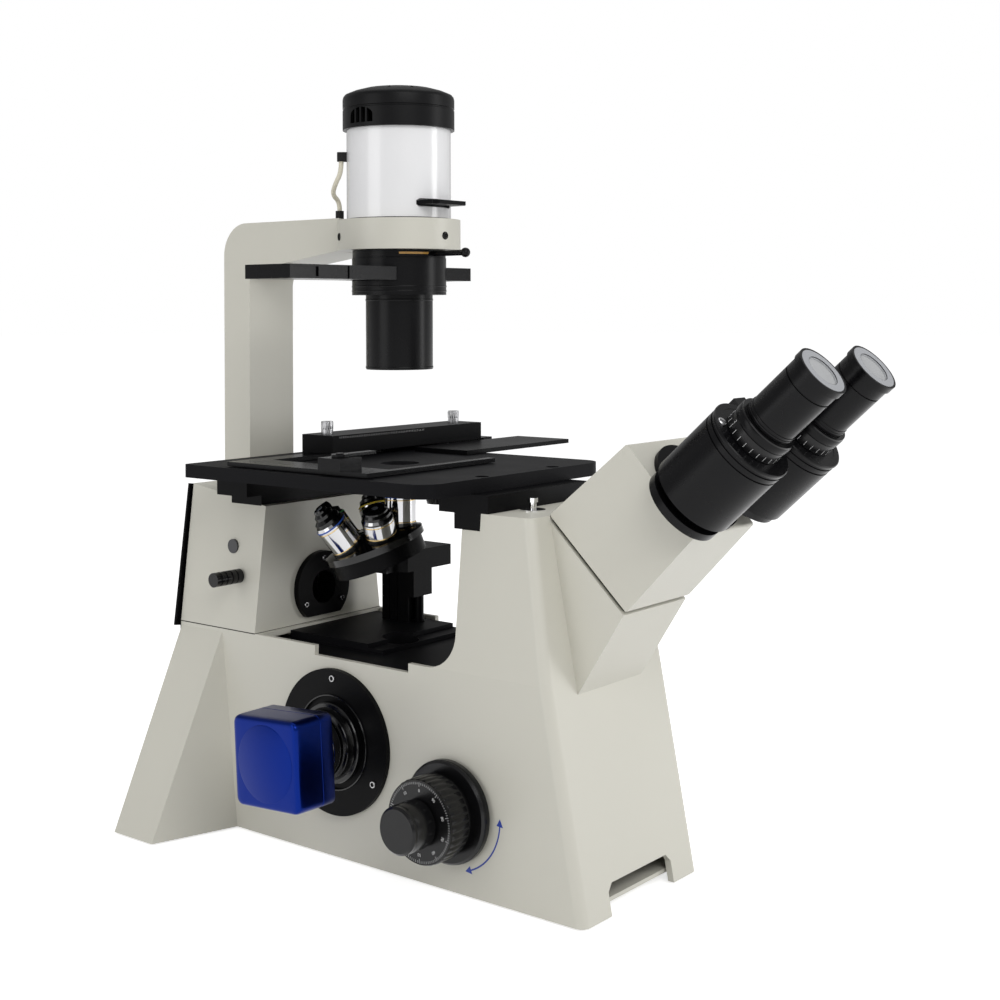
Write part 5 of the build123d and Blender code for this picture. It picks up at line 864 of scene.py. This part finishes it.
class MICROSCOPE_OT_lamp(bpy.types.Operator):
    """Trim of the lamp house, its cap and the condenser"""
    bl_idname = "microscope.lamp"
    bl_label = "Lamp and condenser"

    def execute(self, context):
        axis = axis_frame((0, 0, 0), UP)
        band("lamp_foot_seam", axis, 0.0398, 0.4692, 0.4700, "stand", "satin",
             proud=0.0001)
        for index, height in enumerate(CONDENSER_GROOVES):
            band(f"condenser_groove_{index}", axis, 0.0360, height, height + 0.0010, "stand",
                 "satin", proud=0.0003)
        for index, height in enumerate(CONDENSER_STEPS):
            band(f"condenser_step_{index}", axis, 0.0256, height, height + 0.0016, "stand",
                 "satin", proud=0.0003)
        self.amber_slot(axis)
        self.cap(axis)
        return {"FINISHED"}

    def cap(self, axis):
        """Domed cap with arched side vents behind bars and a ring of slots in its top."""
        profile = [(0.0400, CAP_FOOT), (0.0427, CAP_FOOT), (0.0427, 0.5522), (0.0421, 0.5526),
                   (0.0421, 0.5534), (0.0427, 0.5538), (0.0427, 0.5606), (0.0422, 0.5626),
                   (0.0409, 0.5642), (0.0350, 0.5667), (0.0270, 0.5689), (0.0170, 0.5702),
                   (CORE, 0.5705), (CORE, 0.5705 - CAP_WALL), (0.0270, 0.5689 - CAP_WALL),
                   (0.0385, 0.5606), (0.0400, 0.5590)]
        cap = lathe("lamp_cap_shell", axis, profile, "stand", "cap", segments=144)
        cutters = bmesh.new()
        for side in VENT_SIDES:
            self.arch(cutters, Matrix.Rotation(side, 4, "Z"))
        for index in range(CAP_SLOTS):
            slot = turned(axis, 2 * pi * index / CAP_SLOTS, *CAP_SLOT_PLACE)
            slab(cutters, slot, CAP_SLOT)
        cut(cap, cutters)
        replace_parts(cap, "lamp_cap")
        bars = [turned(axis, side + radians(turn), *VENT_BAR_PLACE)
                for side in VENT_SIDES for turn in VENT_BAR_TURNS]
        marks("lamp_cap_bars", bars, VENT_BAR, "stand", "cap")

    def arch(self, work, matrix):
        """Adds a prism with a round top, through the cap's wall."""
        half, low, spring, rise = 0.0112, 0.5405, 0.5462, 0.0058
        outline = [(-half, low), (half, low)]
        for step in range(ARC_STEPS + 1):
            angle = pi * step / ARC_STEPS
            outline.append((half * cos(angle), spring + rise * sin(angle)))
        ends = [[work.verts.new(matrix @ Vector((x, y, z))) for y, z in outline]
                for x in (0.036, 0.046)]
        for end in ends:
            work.faces.new(end)
        skin(work, ends)

    def amber_slot(self, axis):
        """Short amber window in the aperture ring, on the camera side."""
        low, high, inner = 0.4424, 0.4440, 0.03565
        outer = inner + 0.0001
        section = ((inner, low), (outer, low), (outer, high), (inner, high))
        start, sweep = AMBER_ARC
        work = bmesh.new()
        rows = []
        for step in range(ARC_STEPS + 1):
            angle = radians(start + sweep * step / ARC_STEPS)
            rows.append([work.verts.new(round_point(axis, angle, reach, height))
                         for reach, height in section])
        skin(work, rows)
        work.faces.new(rows[0])
        work.faces.new(rows[-1])
        mesh = drawn_mesh("amber_slot", work)
        add_piece("amber_slot", mesh, "aperture_ring", "amber")


# Side camera: x, half width and corner radius of each section in millimetres, then its place
CAMERA_SECTIONS = [
    (-106.9, 31.0, 5.0), (-107.1, 31.5, 5.4), (-107.6, 31.75, 5.6), (-118.2, 31.75, 5.6),
    (-118.4, 31.45, 5.3), (-118.9, 31.45, 5.3), (-119.1, 31.75, 5.6), (-136.0, 31.75, 5.6),
    (-139.6, 31.6, 5.6), (-141.2, 31.2, 5.4), (-142.0, 30.5, 5.0), (-142.35, 29.4, 4.4),
    (-142.5, 27.6, 3.8), (-142.6, 20.0, 2.6),
]
CAMERA_CENTRE = Vector((0, -0.002, PORT_HEIGHT))
CAMERA_FACE = 0.1426
CAMERA_ROLL = radians(-3.5)
CORNER_POINTS = 10


class MICROSCOPE_OT_side_camera(bpy.types.Operator):
    """Blue camera body with soft corners, a seam and a shallow ring in its face"""
    bl_idname = "microscope.side_camera"
    bl_label = "Side camera"

    def execute(self, context):
        self.shell()
        self.adapter(axis_frame((0, 0, PORT_HEIGHT), LEFT))
        disc = [(CORE, -0.0005), (0.0270, -0.0005), (0.0269, 0.00003), (0.0264, 0.0002),
                (CORE, 0.0002)]
        lathe("camera_face_disc", axis_frame(CAMERA_CENTRE + LEFT * CAMERA_FACE, LEFT), disc,
              "stand", "blue")
        return {"FINISHED"}

    def shell(self):
        """Rounded square body, section by section."""
        turn = Matrix.Translation(CAMERA_CENTRE) @ Matrix.Rotation(CAMERA_ROLL, 4, "X")
        work = bmesh.new()
        rings = []
        for x, half, corner in CAMERA_SECTIONS:
            ring = []
            reach = (half - corner) * 2 ** 0.5
            for quarter in range(4):
                diagonal = pi / 4 + quarter * pi / 2
                for step in range(CORNER_POINTS):
                    angle = (quarter + step / (CORNER_POINTS - 1)) * pi / 2
                    y = reach * cos(diagonal) + corner * cos(angle)
                    z = reach * sin(diagonal) + corner * sin(angle)
                    ring.append(work.verts.new(turn @ Vector((x * MM, y * MM, z * MM))))
            rings.append(ring)
        skin(work, rings)
        work.faces.new(rings[0])
        work.faces.new(rings[-1])
        mesh = drawn_mesh("camera_shell", work)
        shell = add_piece("camera_shell", mesh, "stand", "blue")
        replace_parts(shell, "camera_body")

    def adapter(self, place):
        """Black flange in the port and the bright neck behind the camera."""
        outline = [(0.0215, 0.0722), (0.0293, 0.0722), (0.0293, 0.0776), (0.0287, 0.0783),
                   (0.0262, 0.0785), (0.0255, 0.0800), (0.0250, 0.0836), (0.0215, 0.0836)]
        flange = lathe("adapter_flange", place, outline, "stand", "gloss")
        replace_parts(flange, "camera_adapter")
        outline = [(0.0215, 0.0830), (0.0238, 0.0830), (0.0240, 0.0834), (0.0240, 0.0960),
                   (0.0234, 0.0964), (0.0234, 0.0972), (0.0240, 0.0976), (0.0240, 0.1069),
                   (0.0215, 0.1069)]
        lathe("adapter_neck", place, outline, "stand", "dark_chrome")
        band("port_rim", place, 0.0345, 0.0728, 0.0752, "stand", "gloss",
             depth=0.0008)


# Body marks and screws: three on the front outlet, on the side port and round the arm's ring
OUTLET_SCREWS = [(0, 0.082, 0.203), (-0.0199, 0.082, 0.1685), (0.0199, 0.082, 0.1685)]
OUTLET_SCREW_RADIUS = 0.0020
PORT_FACE = -0.074
PORT_SCREW_CIRCLE = 0.0465
PORT_SCREW_RADIUS = 0.0024
PORT_SCREW_ANGLES = (90, 210, 330)
RING_SCREW_CIRCLE = 0.0462
RING_SCREW_HEIGHT = 0.456
RING_SCREW_RADIUS = 0.0030
RING_SCREW_ANGLES = (-91, 29, 149)
SEAM_WIDTH = 0.0006
SEAM_INSET = 0.0001
LIP_PLACE = (0.0624, 0.1760, 0.2050)
LIP = (0.0084, 0.0018, 0.1130)
LIP_LEAN = (0.070 - 0.058) / 0.087


class MICROSCOPE_OT_body_marks(bpy.types.Operator):
    """Turning arrow beside the tension ring, seams, cover lips and small screws"""
    bl_idname = "microscope.body_marks"
    bl_label = "Body marks"

    def execute(self, context):
        self.arrow(focus_frame(SIDES["left"]))
        self.housing_seam()
        for index, spot in enumerate(OUTLET_SCREWS):
            socket_screw(f"outlet_screw_{index}", axis_frame(spot, FRONT), OUTLET_SCREW_RADIUS,
                         "stand")
        for index, turn in enumerate(PORT_SCREW_ANGLES):
            angle = radians(turn)
            spot = (PORT_FACE, PORT_SCREW_CIRCLE * cos(angle),
                    PORT_HEIGHT + PORT_SCREW_CIRCLE * sin(angle))
            socket_screw(f"port_screw_{index}", axis_frame(spot, LEFT), PORT_SCREW_RADIUS, "stand")
        for index, turn in enumerate(RING_SCREW_ANGLES):
            angle = radians(turn)
            outward = Vector((cos(angle), sin(angle), 0))
            spot = outward * RING_SCREW_CIRCLE + UP * RING_SCREW_HEIGHT
            socket_screw(f"ring_screw_{index}", axis_frame(spot, outward), RING_SCREW_RADIUS,
                         "stand", "satin")
        return {"FINISHED"}

    def housing_seam(self):
        """Dark gasket line under the rear housing, and the side lips of its cover."""
        low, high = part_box("rear_housing")
        middle = (low[1] + high[1]) / 2
        sides = [Matrix.Translation((x, middle, low[2]))
                 for x in (low[0] + SEAM_INSET, high[0] - SEAM_INSET)]
        marks("housing_seam_sides", sides, (SEAM_WIDTH, high[1] - low[1], SEAM_WIDTH),
              "stand", "black")
        marks("housing_seam_front", [Matrix.Translation((0, low[1] + SEAM_INSET, low[2]))],
              (high[0] - low[0], SEAM_WIDTH, SEAM_WIDTH), "stand", "black")
        x, y, z = LIP_PLACE
        lips = [Matrix.Translation((side * x, y, z)) @ Matrix.Rotation(-side * LIP_LEAN, 4, "Y")
                for side in SIDES.values()]
        marks("rear_cover_lips", lips, LIP, "stand", "black")

    def arrow(self, place):
        """Curved arrow with a head at each end, printed on the side of the base."""
        surface, radius, width = 0.07005, 0.0413, 0.0011
        head_half, head_turn = 0.0028, 0.13
        start, stop = radians(-157), radians(-95)
        count = 28
        work = bmesh.new()
        rows = []
        for step in range(count + 1):
            angle = start + (stop - start) * step / count
            rows.append([work.verts.new(round_point(place, angle, reach, surface))
                         for reach in (radius - width / 2, radius + width / 2)])
        skin(work, rows, wrap=False)
        for angle, way in ((start, -1), (stop, 1)):
            spots = [(radius - head_half, angle), (radius + head_half, angle),
                     (radius, angle + way * head_turn)]
            work.faces.new([work.verts.new(round_point(place, turn, reach, surface))
                            for reach, turn in spots])
        mesh = drawn_mesh("turning_arrow", work)
        add_piece("turning_arrow", mesh, "stand", "arrow", smooth=False)


# Stage fittings
THUMB_RADIUS = 0.00475
STAGE_DRIVES = ("stage_y_drive", "stage_x_drive")
GUIDE_START = (-0.004, 0.060, 0.3002)
GUIDE_STEP = 0.002
GUIDE_MARKS = 51
GUIDE_MARK = (0.0016, 0.00022, 0.00010)


class MICROSCOPE_OT_stage_fittings(bpy.types.Operator):
    """Knurled thumb screws, stage knobs and the scale of the mechanical stage"""
    bl_idname = "microscope.stage_fittings"
    bl_label = "Stage fittings"

    def execute(self, context):
        low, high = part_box("thumb_screws")
        thumb = [(0.003, 0.0035), (0.0048, 0.0037), (0.0050, 0.0042), (0.0050, 0.0088),
                 (0.0048, 0.0094), (0.003, 0.0096)]
        for name, x in (("left", low[0] + THUMB_RADIUS), ("right", high[0] - THUMB_RADIUS)):
            place = axis_frame((x, (low[1] + high[1]) / 2, low[2]), UP)
            lathe(f"thumb_grip_{name}", place, thumb, "stage_y", "steel", ribs=16,
                  depth=0.0005)
        for node in STAGE_DRIVES:
            low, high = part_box(node)
            radius = (high[0] - low[0]) / 2
            place = axis_frame(((low[0] + high[0]) / 2, (low[1] + high[1]) / 2, low[2]), UP)
            grip = [(radius - 0.002, 0.0012), (radius + 0.0003, 0.0018),
                    (radius + 0.0003, 0.0102), (radius - 0.002, 0.0108)]
            lathe(f"{node}_grip", place, grip, node, "knob", ribs=40, depth=0.0006)
        x, y, z = GUIDE_START
        places = [axis_frame((x + GUIDE_STEP * index, y, z), FRONT, UP)
                  for index in range(GUIDE_MARKS)]
        marks("guide_scale", places, GUIDE_MARK, "stage_y", "mark")
        return {"FINISHED"}


class MICROSCOPE_PT_panel(bpy.types.Panel):
    """Buttons and sizes of the microscope"""
    bl_idname = "MICROSCOPE_PT_panel"
    bl_label = "Microscope"
    bl_space_type = "VIEW_3D"
    bl_region_type = "UI"
    bl_category = "Microscope"

    def draw(self, context):
        for group in (context.scene.microscope_studio, context.scene.microscope_finish,
                      context.scene.microscope_knobs):
            box = self.layout.box()
            for name in group.bl_rna.properties.keys():
                if name not in ("rna_type", "name"):
                    box.prop(group, name)
        for operator in OPERATORS:
            self.layout.operator(operator.bl_idname)


GROUPS = (SceneSizes, FinishSizes, KnobSizes)
OPERATORS = (MICROSCOPE_OT_finishes, MICROSCOPE_OT_studio, MICROSCOPE_OT_lamp_lead,
             MICROSCOPE_OT_focus_knobs, MICROSCOPE_OT_binocular, MICROSCOPE_OT_objectives,
             MICROSCOPE_OT_lamp, MICROSCOPE_OT_side_camera, MICROSCOPE_OT_body_marks,
             MICROSCOPE_OT_stage_fittings)
CLASSES = (*GROUPS, *OPERATORS, MICROSCOPE_PT_panel)


def register():
    for item in CLASSES:
        bpy.utils.register_class(item)
    bpy.types.Scene.microscope_studio = PointerProperty(type=SceneSizes)
    bpy.types.Scene.microscope_finish = PointerProperty(type=FinishSizes)
    bpy.types.Scene.microscope_knobs = PointerProperty(type=KnobSizes)


def unregister():
    del bpy.types.Scene.microscope_knobs
    del bpy.types.Scene.microscope_finish
    del bpy.types.Scene.microscope_studio
    for item in reversed(CLASSES):
        bpy.utils.unregister_class(item)


def main():
    register()
    for operator in OPERATORS:
        group, name = operator.bl_idname.split(".")
        getattr(getattr(bpy.ops, group), name)()


if __name__ == "__main__":
    main()
